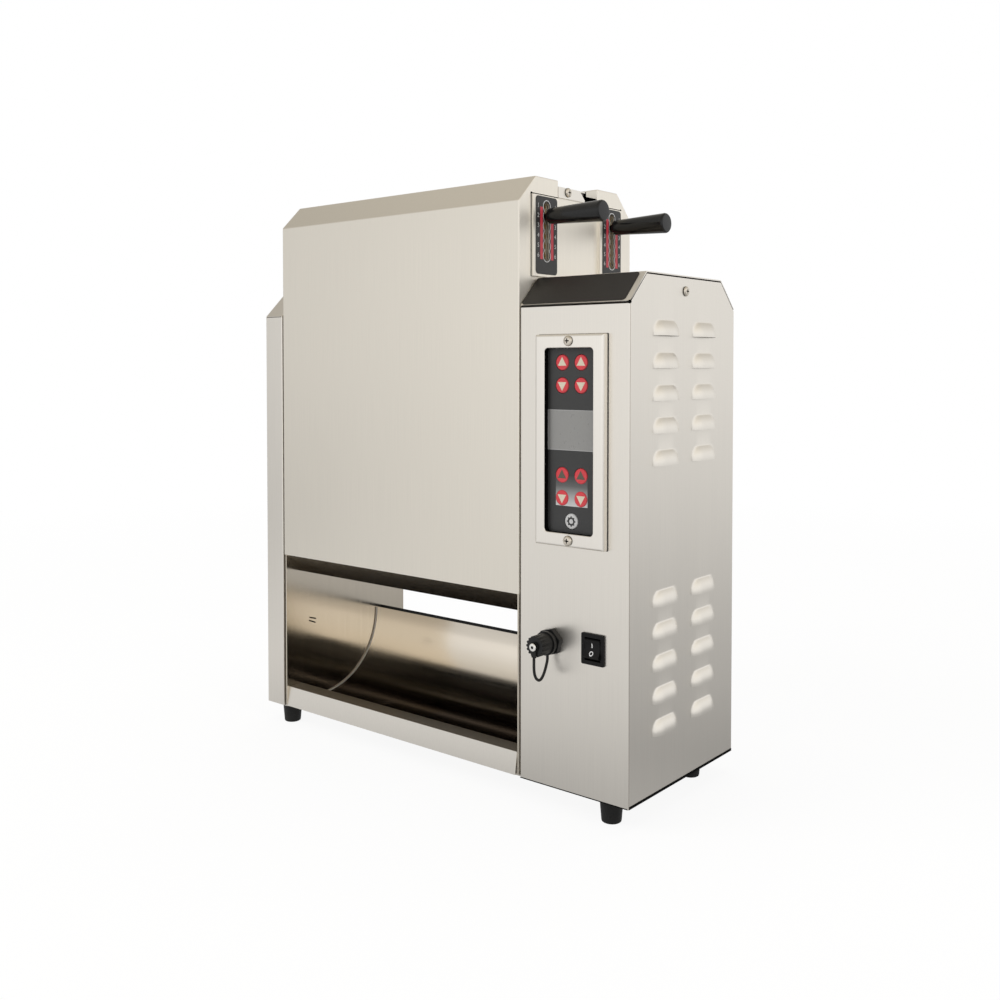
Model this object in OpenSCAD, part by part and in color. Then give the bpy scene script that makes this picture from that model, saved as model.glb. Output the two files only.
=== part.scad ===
// Vertical contact toaster: a tall slim head with two feed mouths on top, a heated platen
// between two belts inside, a curved discharge chute below and a control box at the right end.
// Working axes: x from the left end, y from the front face, z from the bottom of the casing.

/* [Body] */
// Width of the narrow housing at the left end
left_w = 30; // [24:1:45]
// Width of the head covers
cover_w = 363; // [300:1:420]
// Width of the control box at the right end
control_w = 128; // [118:1:160]
// Depth of the body, front face to rear face
body_d = 204; // [198:1:236]
// Gap between the head covers and the boxes beside them
panel_gap = 2; // [1.5:0.5:4]
// Thickness of the stainless casing sheet
sheet = 1.2; // [0.8:0.1:1.6]
// Thickness of the two end frames of the head
frame_t = 1.5; // [1.2:0.1:2.5]
// Thickness of the base pan
pan_t = 1.5; // [1.2:0.1:2.5]

/* [Boxes] */
// Height of the control box and of the left housing
box_h = 503; // [470:1:560]
// Size of the 45 degree slopes along their tops
box_slope = 29; // [20:1:36]

/* [Head covers] */
// Height of the head above both boxes
head_over = 103; // [96:1:125]
// Size of the 45 degree slopes along the top of the covers
head_slope = 27; // [18:1:32]
// Depth of each cover's flat top and slope together, from its outer face to the feed mouth
cover_lip = 66; // [62:1:70]
// Height of the lower front edge of the covers
cover_bottom = 185; // [175:1:200]
// Height of the turned-under lip below that edge
under_h = 22; // [10:1:30]
// Depth of the turned-under lip
under_d = 20; // [10:1:30]
// Gap between the end flanges of the covers and the index brackets
flange_gap = 1; // [0.5:0.5:4]
// Width of the inward returns beside the feed mouths
return_w = 15; // [8:1:18]

/* [Feet] */
// Height of the rubber feet
foot_h = 22; // [15:1:35]
// Diameter of a foot where it meets the pan
foot_top_d = 23; // [18:1:28]
// Diameter of a foot where it meets the table
foot_bottom_d = 19.5; // [14:0.5:22]
// Distance of the foot centres from the left and right ends
foot_in_x = 28.5; // [20:0.5:50]
// Distance of the front foot centres from the front
foot_in_front = 15; // [13:1:40]
// Distance of the rear foot centres from the rear
foot_in_rear = 38; // [15:1:60]

/* [Chute and rails] */
// Inner radius of the curved chute
chute_r = 92; // [84:1:96]
// Distance of the chute's centre line from the front
chute_in = 59.5; // [52:0.5:62]
// Depth of the flange along the chute's rear top edge
chute_flange = 12; // [6:1:16]
// Height of the front rail
rail_h = 23; // [16:1:30]
// Lean of the front rail's face from bottom to top
rail_lean = 3.2; // [1:0.2:6]
// Depth of the front rail's top flange
rail_flange = 20; // [12:1:26]
// Gap that the front rail leaves before the right end frame
rail_short = 3.3; // [2:0.1:6]

/* [Platen] */
// Thickness of the heated platen
platen_t = 26; // [20:1:30]
// Height of the platen's lower edge
platen_bottom = 215; // [200:1:230]
// Thickness of the non-stick release sheets on both its faces
release_t = 0.4; // [0.2:0.1:0.6]
// Diameter of the cartridge heaters inside it
heater_d = 10; // [6:1:12]
// Number of cartridge heaters
heater_n = 3; // [2:1:5]
// Depth of the skirts of the platen cap
cap_skirt = 14; // [8:1:20]

/* [Belt drive] */
// Diameter of the belt rollers
roller_d = 39; // [34:1:42]
// Thickness of the belts
belt_t = 2; // [1.5:0.1:2.5]
// Running gap between a belt and its rollers
belt_clear = 0.5; // [0.3:0.1:0.8]
// Diameter of the drive shafts and idler axles
shaft_d = 10; // [8:1:12]
// Running clearance round a shaft, on the radius
run_clear = 0.05; // [0.02:0.01:0.09]
// Height of the drive shafts
drive_z = 207; // [203:1:215]
// Distance of the idler axles below the top of the head
idler_low = 66; // [64:1:72]
// Gear module
gear_module = 2; // [1.8:0.1:2]
// Teeth of each drive gear
drive_teeth = 26; // [24:1:28]
// Teeth of the motor pinion and of the idler gear
pinion_teeth = 14; // [14:1:15]
// Width of the gears
gear_w = 10; // [6:1:12]

/* [Thickness levers] */
// Distance of the lever slots from the front and rear faces
lever_in = 42; // [40:0.5:45]
// Distance of the uppermost notch below the top of the index brackets
notch_in = 11; // [10:0.5:13]
// Distance between notches
notch_pitch = 10; // [9:0.5:10]
// Number of notches
notch_n = 6; // [4:1:6]
// Notch in which the levers rest
notch_rest = 2; // [1:1:4]
// Sideways travel of the belt for each millimetre of lever travel
cam_slope = 0.3; // [0.2:0.02:0.34]
// Diameter of the lever rods
lever_d = 6.4; // [5:0.2:7]
// Length of the grips
grip_l = 65.5; // [50:0.5:80]
// Diameter of a grip at its base
grip_base_d = 16.2; // [13:0.1:18]
// Diameter of a grip at its free end
grip_end_d = 21.4; // [18.5:0.1:24]
// Distance that the index brackets stand out from the end flanges
bracket_out = 2.5; // [1.5:0.1:4]
// Width of the index plates
index_w = 36; // [32:1:40]
// Height of the brackets' rim below the index plates
index_foot = 2.5; // [1.5:0.5:6]

/* [Control panel] */
// Width of the bezel
bezel_w = 80.4; // [74:0.2:90]
// Height of the bezel
bezel_h = 204; // [200:1:214]
// Height of the bezel that stands out from the panel
bezel_out = 8; // [6:0.5:12]
// Width of the bezel's left and right bars
bezel_side = 11.7; // [9:0.1:14]
// Height of the bezel's upper and lower bars
bezel_bar = 13; // [11:0.5:15]
// Distance of the bezel's centre below the top of the control box
bezel_low = 161; // [150:1:175]
// Thickness of the keypad overlay
overlay_t = 2; // [1.6:0.1:3]
// Diameter of the keys
key_d = 15.2; // [12:0.1:17]
// Distance between neighbouring keys
key_pitch = 22; // [20:0.5:23]
// Distance of the middle of the upper four keys below the top of the window
upper_keys_in = 25; // [22:0.5:32]
// Distance of the middle of the lower four keys above the bottom of the window
lower_keys_in = 44.5; // [43:0.5:50]
// Travel of a key
key_travel = 0.5; // [0.3:0.1:0.8]
// Height of the display window
display_h = 39; // [30:1:42]
// Height of the display's centre above the bezel's centre
display_up = 10; // [8:0.5:12]

/* [Switch and port] */
// Height of the rocker switch and of the data port
switch_z = 144.5; // [135:0.5:150]
// Distance of both from the middle of the control box
switch_off = 24.5; // [22:0.5:30]
// Width of the rocker switch's frame
rocker_w = 26; // [22:0.5:28]
// Height of the rocker switch's frame
rocker_h = 30; // [26:0.5:34]
// Tilt of the rocker to either side, in degrees
rocker_tilt = 9; // [6:1:12]
// Width of the port's hexagonal nut across its flats
nut_flats = 24; // [22:0.5:28]
// Diameter of the port's screw cap
port_cap_d = 20.5; // [19:0.5:22]
// Length of the port's screw cap
port_cap_l = 19; // [16:0.5:24]

/* [Louvres] */
// Width of a louvre
louvre_w = 48.5; // [40:0.5:56]
// Height of a louvre
louvre_h = 15.7; // [12:0.1:18]
// Distance that a louvre bulges out
louvre_out = 6; // [4:0.5:8]
// Distance between louvres
louvre_pitch = 31.2; // [24:0.2:32]
// Number of louvres in each block
louvre_n = 5; // [3:1:5]
// Distance of the louvre columns from the middle of the depth
louvre_off = 37.3; // [30:0.1:40]
// Distance of the upper block's lowest louvre below the top of the control box
louvre_upper_low = 185; // [175:1:200]
// Height of the lower block's lowest louvre
louvre_lower = 58; // [40:1:80]

/* [Hidden] */
$fn = 48;

// Small cut-through allowance and general fit gaps
eps = 0.5;
fit_gap = 0.3;
hole_gap = 0.1;
clear_gap = 1;

// Places along the width
cover_x0 = left_w + panel_gap;
cover_x1 = cover_x0 + cover_w;
box_x0 = cover_x1 + panel_gap;
box_x1 = box_x0 + control_w;
frame_x0 = cover_x0 + sheet + frame_t;
frame_x1 = cover_x1 - sheet - frame_t;
panel_x = box_x0 + control_w / 2;
port_x = panel_x - switch_off;
rocker_x = panel_x + switch_off;

// Places along the depth
mid_y = body_d / 2;
drive_off = gear_module * (drive_teeth + 2 * pinion_teeth) / 2;
drive_y = mid_y - drive_off;
pinion_y = drive_y + gear_module * (drive_teeth + pinion_teeth) / 2;
idler_gear_y = pinion_y + gear_module * pinion_teeth;
rear_drive_y = mid_y + drive_off;
lever_y = lever_in;

// Front protrusion of the port and rear protrusion of the cable gland
nut_t = 6;
ring_w = 2.4;
tongue_t = 1.5;
cap_screw_h = 2.5;
port_out = nut_t + ring_w + port_cap_l + tongue_t + cap_screw_h + 4 * fit_gap;
gland_hex_t = 6;
gland_dome_l = 16;
gland_out = gland_hex_t + gland_dome_l;

// Origin: middle of the outer box on the plane under the feet
origin_x = (box_x1 + louvre_out) / 2;
origin_y = (body_d + gland_out - port_out) / 2;

// Heights
head_h = box_h + head_over;
idler_z = head_h - idler_low;
bezel_z = box_h - bezel_low;
louvre_upper = box_h - louvre_upper_low;
flap_low = 6;
flap_h = 11.5;
flap_top = head_h - flap_low;
cap_z = flap_top - sheet;
slit_h = 1.5;
slit_z = flap_top - flap_h;
bracket_top = slit_z - slit_h;
bracket_bottom = box_h + slit_h;
bracket_rim = 4;
bracket_w = index_w + 2 * bracket_rim;
flange_d = lever_y - bracket_w / 2 - flange_gap;
notch_top = bracket_top - notch_in;
index_rim = 1;
index_z0 = bracket_bottom + index_foot;
index_z1 = bracket_top - index_rim;
notch_low = notch_top - (notch_n - 1) * notch_pitch;
lever_z = notch_top - (notch_rest - 1) * notch_pitch;
lever_rise = (notch_rest - 1) * notch_pitch;
lever_drop = (notch_n - notch_rest) * notch_pitch;

// Screws
screw_head_d = 8;
screw_head_h = 2.4;
screw_shank_d = 4;
screw_l = 8;
driver_slot = 1;

// Bends: how far an inner face of a 45 degree bend runs past the outer one
function bend_run(t) = t * (sqrt(2) - 1);

// Outline of a box with sloped top edges, drawn in by a thickness
function box_outline(d, h, c, t = 0, z0 = 0) =
    let (k = bend_run(t))
    [[t, z0], [d - t, z0], [d - t, h - c - k], [d - c - k, h - t], [c + k, h - t], [t, h - c - k]];

// Extrusions along x from a drawing of y and z, and along y from a drawing of x and z
module along_x(x0, length) {
    translate([x0, 0, 0]) rotate([90, 0, 90]) linear_extrude(length) children();
}

module along_y(y0, length) {
    translate([0, y0 + length, 0]) rotate([90, 0, 0]) linear_extrude(length) children();
}

// Round bars along x and y
module rod_x(x0, x1, y, z, d) {
    translate([x0, y, z]) rotate([0, 90, 0]) cylinder(h = x1 - x0, d = d);
}

module rod_y(y0, y1, x, z, d) {
    translate([x, y0, z]) rotate([-90, 0, 0]) cylinder(h = y1 - y0, d = d);
}

module block(x0, x1, y0, y1, z0, z1) {
    translate([x0, y0, z0]) cube([x1 - x0, y1 - y0, z1 - z0]);
}

// Rectangle with round corners, about its centre
module round_rect(w, h, r) {
    square([w - 2 * r, h], center = true);
    square([w, h - 2 * r], center = true);
    for (sx = [-1, 1], sy = [-1, 1])
        translate([sx * (w / 2 - r), sy * (h / 2 - r)]) circle(r);
}

// The part's frame, and the mirror image of the front half behind the middle of the depth
module in_frame() {
    translate([-origin_x, -origin_y, foot_h]) children();
}

module rear_side() {
    translate([0, 2 * mid_y, 0]) mirror([0, 1, 0]) children();
}

// The base pan carries everything: it lies inside the lower edges of both boxes.
rail_y = 1.5;
pan_front = rail_y + sheet + rail_lean * pan_t / rail_h;

module base_pan() {
    color("silver") in_frame() difference() {
        block(sheet, box_x1 - sheet, sheet, body_d - sheet, 0, pan_t);
        block(left_w, box_x0, 0, pan_front, -eps, pan_t + eps);
    }
}

// The end frames stand on the pan, close the ends of the head and carry the shafts.
frame_step = 4;
frame_dip = slit_z - frame_step;
flap_inset = 1;
flap_y0 = cover_lip + fit_gap;
flap_y1 = mid_y + 12;
flap_chamfer = 9;
foot_flange = 14;
foot_flange_l = 16.5;
bush_d = 16;
heater_top = box_h - 2 * heater_d;
heater_z = [for (i = [0 : heater_n - 1])
    platen_bottom + (heater_top - platen_bottom) * (i + 0.5) / heater_n];

function frame_outline() =
    let (k = bend_run(sheet), rear_lip = body_d - cover_lip, flap_edge = flap_y0 + flap_inset)
    [
        [sheet, pan_t], [body_d - sheet, pan_t],
        [body_d - sheet, head_h - head_slope - k], [body_d - head_slope - k, head_h - sheet],
        [rear_lip + frame_step, head_h - sheet], [rear_lip + frame_step, frame_dip],
        [flap_y1 - flap_inset, frame_dip], [flap_y1 - flap_inset, cap_z - flap_chamfer],
        [flap_y1 - flap_chamfer, cap_z], [flap_edge, cap_z],
        [flap_edge, frame_dip], [cover_lip - frame_step, frame_dip],
        [cover_lip - frame_step, head_h - sheet], [head_slope + k, head_h - sheet],
        [sheet, head_h - head_slope - k]
    ];

flap_screw_gap = 5.6;
flap_screw_low = 4.5;
flap_screw_y = mid_y - platen_t / 2 - release_t - flap_screw_gap;
flap_screw_z = flap_top - flap_screw_low;

module frame_plate(x0, x_foot) {
    foot_y1 = body_d - rear_rail_d - rear_rail_gap;
    difference() {
        union() {
            along_x(x0, frame_t) polygon(frame_outline());
            block(x_foot, x_foot + foot_flange, foot_y1 - foot_flange_l, foot_y1, pan_t, pan_t + frame_t);
        }
        for (y = [drive_y, rear_drive_y])
            rod_x(x0 - eps, x0 + frame_t + eps, y, drive_z, bush_d);
        for (z = heater_z)
            rod_x(x0 - eps, x0 + frame_t + eps, mid_y, z, heater_d + 2 * hole_gap);
        rod_x(x0 - eps, x0 + frame_t + eps, flap_screw_y, flap_screw_z, screw_shank_d + 2 * hole_gap);
    }
}

module left_end_frame() {
    color("silver") in_frame() frame_plate(frame_x0 - frame_t, frame_x0 - frame_t);
}

// Slot for a lever rod: a straight channel with a round notch at each setting
notch_gap = 1.4;
channel_gap = 0.4;
notch_d = lever_d + 2 * notch_gap;
channel_w = lever_d + 2 * channel_gap;

module lever_slot(x0, x1) {
    block(x0, x1, lever_y - channel_w / 2, lever_y + channel_w / 2, notch_low, notch_top);
    for (i = [0 : notch_n - 1])
        rod_x(x0, x1, lever_y, notch_top - i * notch_pitch, notch_d);
}

// Raised index bracket of the right end frame, open along its top, and the guides of the lever slide
slide_front_rim = 13;
slide_rear_rim = 7;
slide_y0 = min(lever_y, drive_y - cam_slope * lever_drop) - slide_front_rim;
slide_y1 = max(lever_y, drive_y + cam_slope * lever_rise) + slide_rear_rim;
slide_t = 4.8;
slide_gap = 0.7;
slide_x1 = frame_x1 - slide_gap;
slide_x0 = slide_x1 - slide_t;
guide_t = 3.5;
guide_z1 = head_h - head_slope - 2 * sheet + slide_y0 - fit_gap - guide_t;
guide_z0 = bracket_bottom - 2 * guide_t;

module index_bracket() {
    bracket_x = cover_x1 + bracket_out;
    y0 = lever_y - bracket_w / 2;
    difference() {
        block(frame_x1 + frame_t, bracket_x, y0, y0 + bracket_w, bracket_bottom, bracket_top);
        block(frame_x1 + frame_t - eps, bracket_x - sheet, y0 + sheet, y0 + bracket_w - sheet,
              bracket_bottom + sheet, bracket_top + eps);
    }
}

module slide_guides() {
    for (y = [slide_y0 - fit_gap - guide_t, slide_y1 + fit_gap])
        block(slide_x0, frame_x1, y, y + guide_t, guide_z0, guide_z1);
}

module right_end_frame() {
    color("silver") in_frame() difference() {
        union() {
            frame_plate(frame_x1, frame_x1 - foot_flange + frame_t);
            index_bracket();
            rear_side() index_bracket();
            slide_guides();
            rear_side() slide_guides();
        }
        lever_slot(frame_x1 - eps, cover_x1 + bracket_out + eps);
        rear_side() lever_slot(frame_x1 - eps, cover_x1 + bracket_out + eps);
    }
}

// The left housing is a closed narrow box that stands over the end of the pan.
module left_housing() {
    color("gainsboro") in_frame() difference() {
        along_x(0, left_w) polygon(box_outline(body_d, box_h, box_slope));
        along_x(sheet, left_w - 2 * sheet)
            polygon(box_outline(body_d, box_h, box_slope, sheet, -eps));
        block(left_w - sheet - eps, left_w + eps, sheet, body_d - sheet, -eps, pan_t);
    }
}

// One louvre: a bulge that fades into the wall at its top and is open along its bottom edge.
louvre_r = (louvre_out * louvre_out + louvre_h * louvre_h) / (2 * louvre_out);

module louvre_form(r) {
    run = louvre_w / 2 - louvre_h;
    translate([louvre_out - louvre_r, 0, 0]) {
        rotate([90, 0, 0]) cylinder(h = 2 * run, r = r, center = true);
        for (y = [-run, run]) translate([0, y, 0]) sphere(r);
    }
}

module louvre_places() {
    for (side = [-1, 1], z0 = [louvre_upper, louvre_lower], i = [0 : louvre_n - 1])
        translate([box_x1, mid_y + side * louvre_off, z0 + i * louvre_pitch]) children();
}

module louvre_shell() {
    difference() {
        intersection() {
            louvre_form(louvre_r);
            translate([-sheet / 2, -louvre_w / 2, 0]) cube([louvre_out + sheet, louvre_w, louvre_h]);
        }
        louvre_form(louvre_r - sheet);
    }
}

module louvre_opening() {
    intersection() {
        louvre_form(louvre_r - sheet);
        translate([-2 * sheet, -louvre_w / 2, 0]) cube([louvre_out + 2 * sheet, louvre_w, louvre_h]);
    }
}

// The control housing is a folded wrap: front, right side and left wall, with rear flanges.
rear_flange = 12;
window_w = bezel_w - 2 * bezel_side;
window_h = bezel_h - 2 * bezel_bar;
front_top = box_h - box_slope - bend_run(sheet) - fit_gap;
keypad_cut = 5;
barrel_d = 18;
rocker_rim = 2;
rocker_body_w = rocker_w - 2 * rocker_rim;
rocker_body_h = rocker_h - 2 * rocker_rim;
bezel_screw_z = (bezel_h / 2 + window_h / 2) / 2;
side_screw_low = 15.5;
side_screw_z = box_h - side_screw_low;
panel_screw_x = [box_x0 + sheet + rear_flange / 2, box_x1 - sheet - rear_flange / 2];
panel_screw_in = 20;
panel_screw_z = [panel_screw_in, box_h - box_slope - panel_screw_in];

module control_walls() {
    block(box_x0, box_x1 - sheet, 0, sheet, 0, front_top);
    along_x(box_x1 - sheet, sheet) polygon(box_outline(body_d, box_h, box_slope));
    along_x(box_x0, sheet) polygon(box_outline(body_d, box_h, box_slope, sheet, pan_t));
    for (x = [box_x0, box_x1 - sheet - rear_flange])
        block(x, x + rear_flange + sheet, body_d - 2 * sheet, body_d - sheet, pan_t, front_top);
}

module control_cuts() {
    along_y(-eps, sheet + 2 * eps) {
        translate([panel_x, bezel_z]) square([window_w - keypad_cut, window_h - keypad_cut], center = true);
        translate([rocker_x, switch_z])
            square([rocker_body_w + 2 * hole_gap, rocker_body_h + 2 * hole_gap], center = true);
    }
    rod_y(-eps, sheet + eps, port_x, switch_z, barrel_d + 2 * hole_gap);
    for (z = [-1, 1])
        rod_y(-eps, sheet + eps, panel_x, bezel_z + z * bezel_screw_z, screw_shank_d + 2 * hole_gap);
    for (y = [drive_y, rear_drive_y])
        rod_x(box_x0 - eps, box_x0 + sheet + eps, y, drive_z, bush_d);
    for (z = heater_z)
        rod_x(box_x0 - eps, box_x0 + sheet + eps, mid_y, z, heater_d + 2 * clear_gap);
    rod_x(box_x1 - sheet - eps, box_x1 + eps, mid_y, side_screw_z, screw_shank_d + 2 * hole_gap);
    for (x = panel_screw_x, z = panel_screw_z)
        rod_y(body_d - 2 * sheet - eps, body_d, x, z, screw_shank_d + 2 * hole_gap);
}

module control_housing() {
    color("gainsboro") in_frame() {
        difference() {
            control_walls();
            control_cuts();
            louvre_places() louvre_opening();
        }
        louvre_places() louvre_shell();
    }
}

// The sloped top cover of the control box, with a tab inside the right wall for its screw
top_tab_w = 40;
top_tab_h = 34;

module control_top_cover() {
    outer = box_outline(body_d, box_h, box_slope);
    inner = box_outline(body_d, box_h, box_slope, sheet);
    ring = [for (i = [2 : 5]) outer[i], for (i = [5 : -1 : 2]) inner[i]];
    tab_x1 = box_x1 - sheet;
    color("gainsboro") in_frame() difference() {
        union() {
            along_x(box_x0, control_w - sheet) polygon(ring);
            block(tab_x1 - sheet, tab_x1, mid_y - top_tab_w / 2, mid_y + top_tab_w / 2,
                  box_h - top_tab_h, box_h - sheet / 2);
        }
        rod_x(tab_x1 - sheet - eps, tab_x1 + eps, mid_y, side_screw_z, screw_shank_d + 2 * hole_gap);
    }
}

// The removable rear panel of the control box, with the hole for the cable gland
gland_thread_d = 16;
gland_z = 62;

module control_rear_panel() {
    color("gainsboro") in_frame() difference() {
        block(box_x0, box_x1 - sheet, body_d - sheet, body_d, 0, front_top);
        for (x = panel_screw_x, z = panel_screw_z)
            rod_y(body_d - sheet - eps, body_d + eps, x, z, screw_shank_d + 2 * hole_gap);
        rod_y(body_d - sheet - eps, body_d + eps, panel_x, gland_z, gland_thread_d + 2 * hole_gap);
    }
}

// The head covers: one folded sheet each, with sloped top, end flanges and a lip turned under.
module cover_shape() {
    k = bend_run(sheet);
    along_x(cover_x0, cover_w) polygon([
        [cover_lip, head_h], [head_slope, head_h], [0, head_h - head_slope], [0, cover_bottom],
        [sheet, cover_bottom], [sheet, head_h - head_slope - k], [head_slope + k, head_h - sheet],
        [cover_lip, head_h - sheet]
    ]);
    lip_l = sqrt(under_d * under_d + under_h * under_h);
    nx = sheet * under_h / lip_l;
    nz = sheet * under_d / lip_l;
    along_x(frame_x0 + fit_gap, frame_x1 - frame_x0 - 2 * fit_gap) polygon([
        [0, cover_bottom], [under_d, cover_bottom - under_h],
        [under_d + nx, cover_bottom - under_h + nz], [nx, cover_bottom + nz]
    ]);
    for (x = [cover_x0, cover_x1 - sheet])
        along_x(x, sheet) polygon([
            [0, cover_bottom], [flange_d, cover_bottom], [flange_d, slit_z], [cover_lip, slit_z],
            [cover_lip, head_h], [head_slope, head_h], [0, head_h - head_slope]
        ]);
    for (x = [cover_x0, cover_x1 - return_w])
        block(x, x + return_w, cover_lip - sheet, cover_lip, slit_z, head_h);
}

module front_cover() {
    color("gainsboro") in_frame() cover_shape();
}

module rear_cover() {
    color("gainsboro") in_frame() rear_side() cover_shape();
}

// The chute: a quarter cylinder that turns the fall of the bread into a slide to the front
chute_z = pan_t + sheet + chute_r;
chute_front = rail_y + rail_lean + rail_flange;

module chute() {
    rear_y = chute_in + chute_r;
    hem_y = rear_y + chute_flange;
    color("lightgray") in_frame() {
        along_x(frame_x0, frame_x1 - frame_x0) difference() {
            intersection() {
                translate([chute_in, chute_z]) circle(chute_r + sheet, $fn = 96);
                translate([chute_in, pan_t]) square([chute_r + sheet, chute_r + sheet]);
            }
            translate([chute_in, chute_z]) circle(chute_r, $fn = 96);
        }
        block(frame_x0, frame_x1, chute_front, chute_in, pan_t, pan_t + sheet);
        block(frame_x0, frame_x1, rear_y, hem_y, chute_z, chute_z + sheet);
        block(frame_x0, frame_x1, hem_y - sheet, hem_y, chute_z - chute_flange, chute_z);
    }
}

// The front rail under the discharge opening, with a small tab that meets the right end frame
rail_tab_z = 8;
rail_tab_h = 10;

module front_rail() {
    x1 = frame_x1 - rail_short;
    top_y = rail_y + rail_lean;
    back_y = rail_y + sheet + rail_lean * (rail_h - sheet) / rail_h;
    tab_y = rail_y + sheet + rail_lean * (rail_tab_z + rail_tab_h) / rail_h;
    color("gainsboro") in_frame() {
        along_x(frame_x0, x1 - frame_x0) polygon([
            [rail_y, 0], [top_y, rail_h], [top_y + rail_flange, rail_h],
            [top_y + rail_flange, rail_h - sheet], [back_y, rail_h - sheet], [rail_y + sheet, 0]
        ]);
        block(x1 - 3 * rail_short, frame_x1, tab_y, tab_y + sheet, rail_tab_z, rail_h - sheet);
    }
}

// The rear rail: an angle that ties the end frames together along the back
rear_rail_h = 20;
rear_rail_d = 12;
rear_rail_gap = 4;

module rear_rail() {
    y1 = body_d - sheet;
    color("silver") in_frame() {
        block(frame_x0, frame_x1, y1 - rear_rail_d, y1, pan_t, pan_t + sheet);
        block(frame_x0, frame_x1, y1 - sheet, y1, pan_t, pan_t + rear_rail_h);
    }
}

// Four tapered rubber feet
foot_dimple_d = 9;
foot_dimple_h = 8;

module feet() {
    color("black") in_frame()
        for (x = [foot_in_x, box_x1 - foot_in_x], y = [foot_in_front, body_d - foot_in_rear])
            translate([x, y, -foot_h]) difference() {
                cylinder(h = foot_h, d1 = foot_bottom_d, d2 = foot_top_d);
                translate([0, 0, -eps]) cylinder(h = foot_dimple_h + eps, d = foot_dimple_d);
            }
}

// Index plates: printed plates round the lever slots, with a scalloped slot
index_t = 0.6;
index_r = 4;
index_x = cover_x1 + bracket_out;

module index_plate() {
    difference() {
        along_x(index_x, index_t)
            translate([lever_y, (index_z0 + index_z1) / 2]) round_rect(index_w, index_z1 - index_z0, index_r);
        lever_slot(index_x - eps, index_x + index_t + eps);
    }
}

module index_plates() {
    color([0.13, 0.13, 0.14]) in_frame() {
        index_plate();
        rear_side() index_plate();
    }
}

// Blank dark plate on the front slope of the control box
plate_t = 0.5;
plate_margin = 5;
plate_rim = 1;
plate_r = 4;

module name_plate() {
    slope_l = box_slope * sqrt(2);
    plate_w = control_w - sheet - plate_margin;
    plate_l = slope_l - 2 * plate_rim;
    color([0.2, 0.19, 0.18]) in_frame()
        translate([box_x0 + plate_w / 2, 0, box_h - box_slope]) rotate([45, 0, 0])
        translate([0, slope_l / 2, 0]) linear_extrude(plate_t) round_rect(plate_w, plate_l, plate_r);
}

// The bezel: a folded frame that stands round the keypad
module control_bezel() {
    color("gainsboro") in_frame() difference() {
        along_y(-bezel_out, bezel_out) translate([panel_x, bezel_z]) difference() {
            square([bezel_w, bezel_h], center = true);
            round_rect(window_w, window_h, index_r);
        }
        along_y(sheet - bezel_out, bezel_out - sheet + eps) translate([panel_x, bezel_z]) difference() {
            square([bezel_w - 2 * sheet, bezel_h - 2 * sheet], center = true);
            round_rect(window_w + 2 * sheet, window_h + 2 * sheet, index_r + sheet);
        }
        for (z = [-1, 1])
            rod_y(-bezel_out - eps, eps, panel_x, bezel_z + z * bezel_screw_z, screw_shank_d + 2 * hole_gap);
    }
}

// Places of the keys about the middle of the panel, and the keypad overlay with a pocket for each
upper_keys = window_h / 2 - upper_keys_in;
lower_keys = lower_keys_in - window_h / 2;
key_rows = [
    upper_keys + key_pitch / 2, upper_keys - key_pitch / 2,
    lower_keys + key_pitch / 2, lower_keys - key_pitch / 2
];
menu_up = lower_keys - 3 * key_pitch / 2;
key_out = 0.6;
key_t = 1.4;
pocket_y = key_t - key_out + key_travel + hole_gap - overlay_t;
display_t = 1;

module keypad_overlay() {
    pocket_d = key_d + 2 * fit_gap;
    color([0.2, 0.2, 0.21]) in_frame() difference() {
        along_y(-overlay_t, overlay_t) translate([panel_x, bezel_z])
            round_rect(window_w - 2 * hole_gap, window_h - 2 * hole_gap, index_r);
        for (side = [-1, 1], up = key_rows)
            rod_y(-overlay_t - eps, pocket_y, panel_x + side * key_pitch / 2, bezel_z + up, pocket_d);
        rod_y(-overlay_t - eps, pocket_y, panel_x, bezel_z + menu_up, pocket_d);
        block(panel_x - window_w / 2 - eps, panel_x + window_w / 2 + eps,
              -overlay_t - eps, display_t - overlay_t,
              bezel_z + display_up - display_h / 2, bezel_z + display_up + display_h / 2);
    }
}

module display_window() {
    w = window_w - 2 * hole_gap;
    color([0.42, 0.44, 0.46]) in_frame()
        block(panel_x - w / 2, panel_x + w / 2, -overlay_t, display_t - overlay_t,
              bezel_z + display_up - display_h / 2, bezel_z + display_up + display_h / 2);
}

// One round key, a low disc that moves in its pocket
module key(side, up) {
    color([0.85, 0.16, 0.2]) in_frame()
        rod_y(-overlay_t - key_out, key_t - key_out - overlay_t,
              panel_x + side * key_pitch / 2, bezel_z + up, key_d);
}

// Rocker switch: a frame with a deep body behind the panel, and the rocker on its pivot
rocker_frame_t = 2;
rocker_wall = 2;
rocker_depth = 24;
rocker_pivot_y = 2.5;
rocker_pivot_d = 3;
rocker_pin = 1;
rocker_in_w = rocker_body_w - 2 * rocker_wall;
rocker_in_h = rocker_body_h - 2 * rocker_wall;
rocker_gap = 0.6;
rocker_r = rocker_in_h / 2 - rocker_gap;
rocker_corner_r = 1.5;
rocker_nose = 2.5;
rocker_back = 4;
rocker_dish_r = 14;
rocker_dish_depth = 2;

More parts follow.
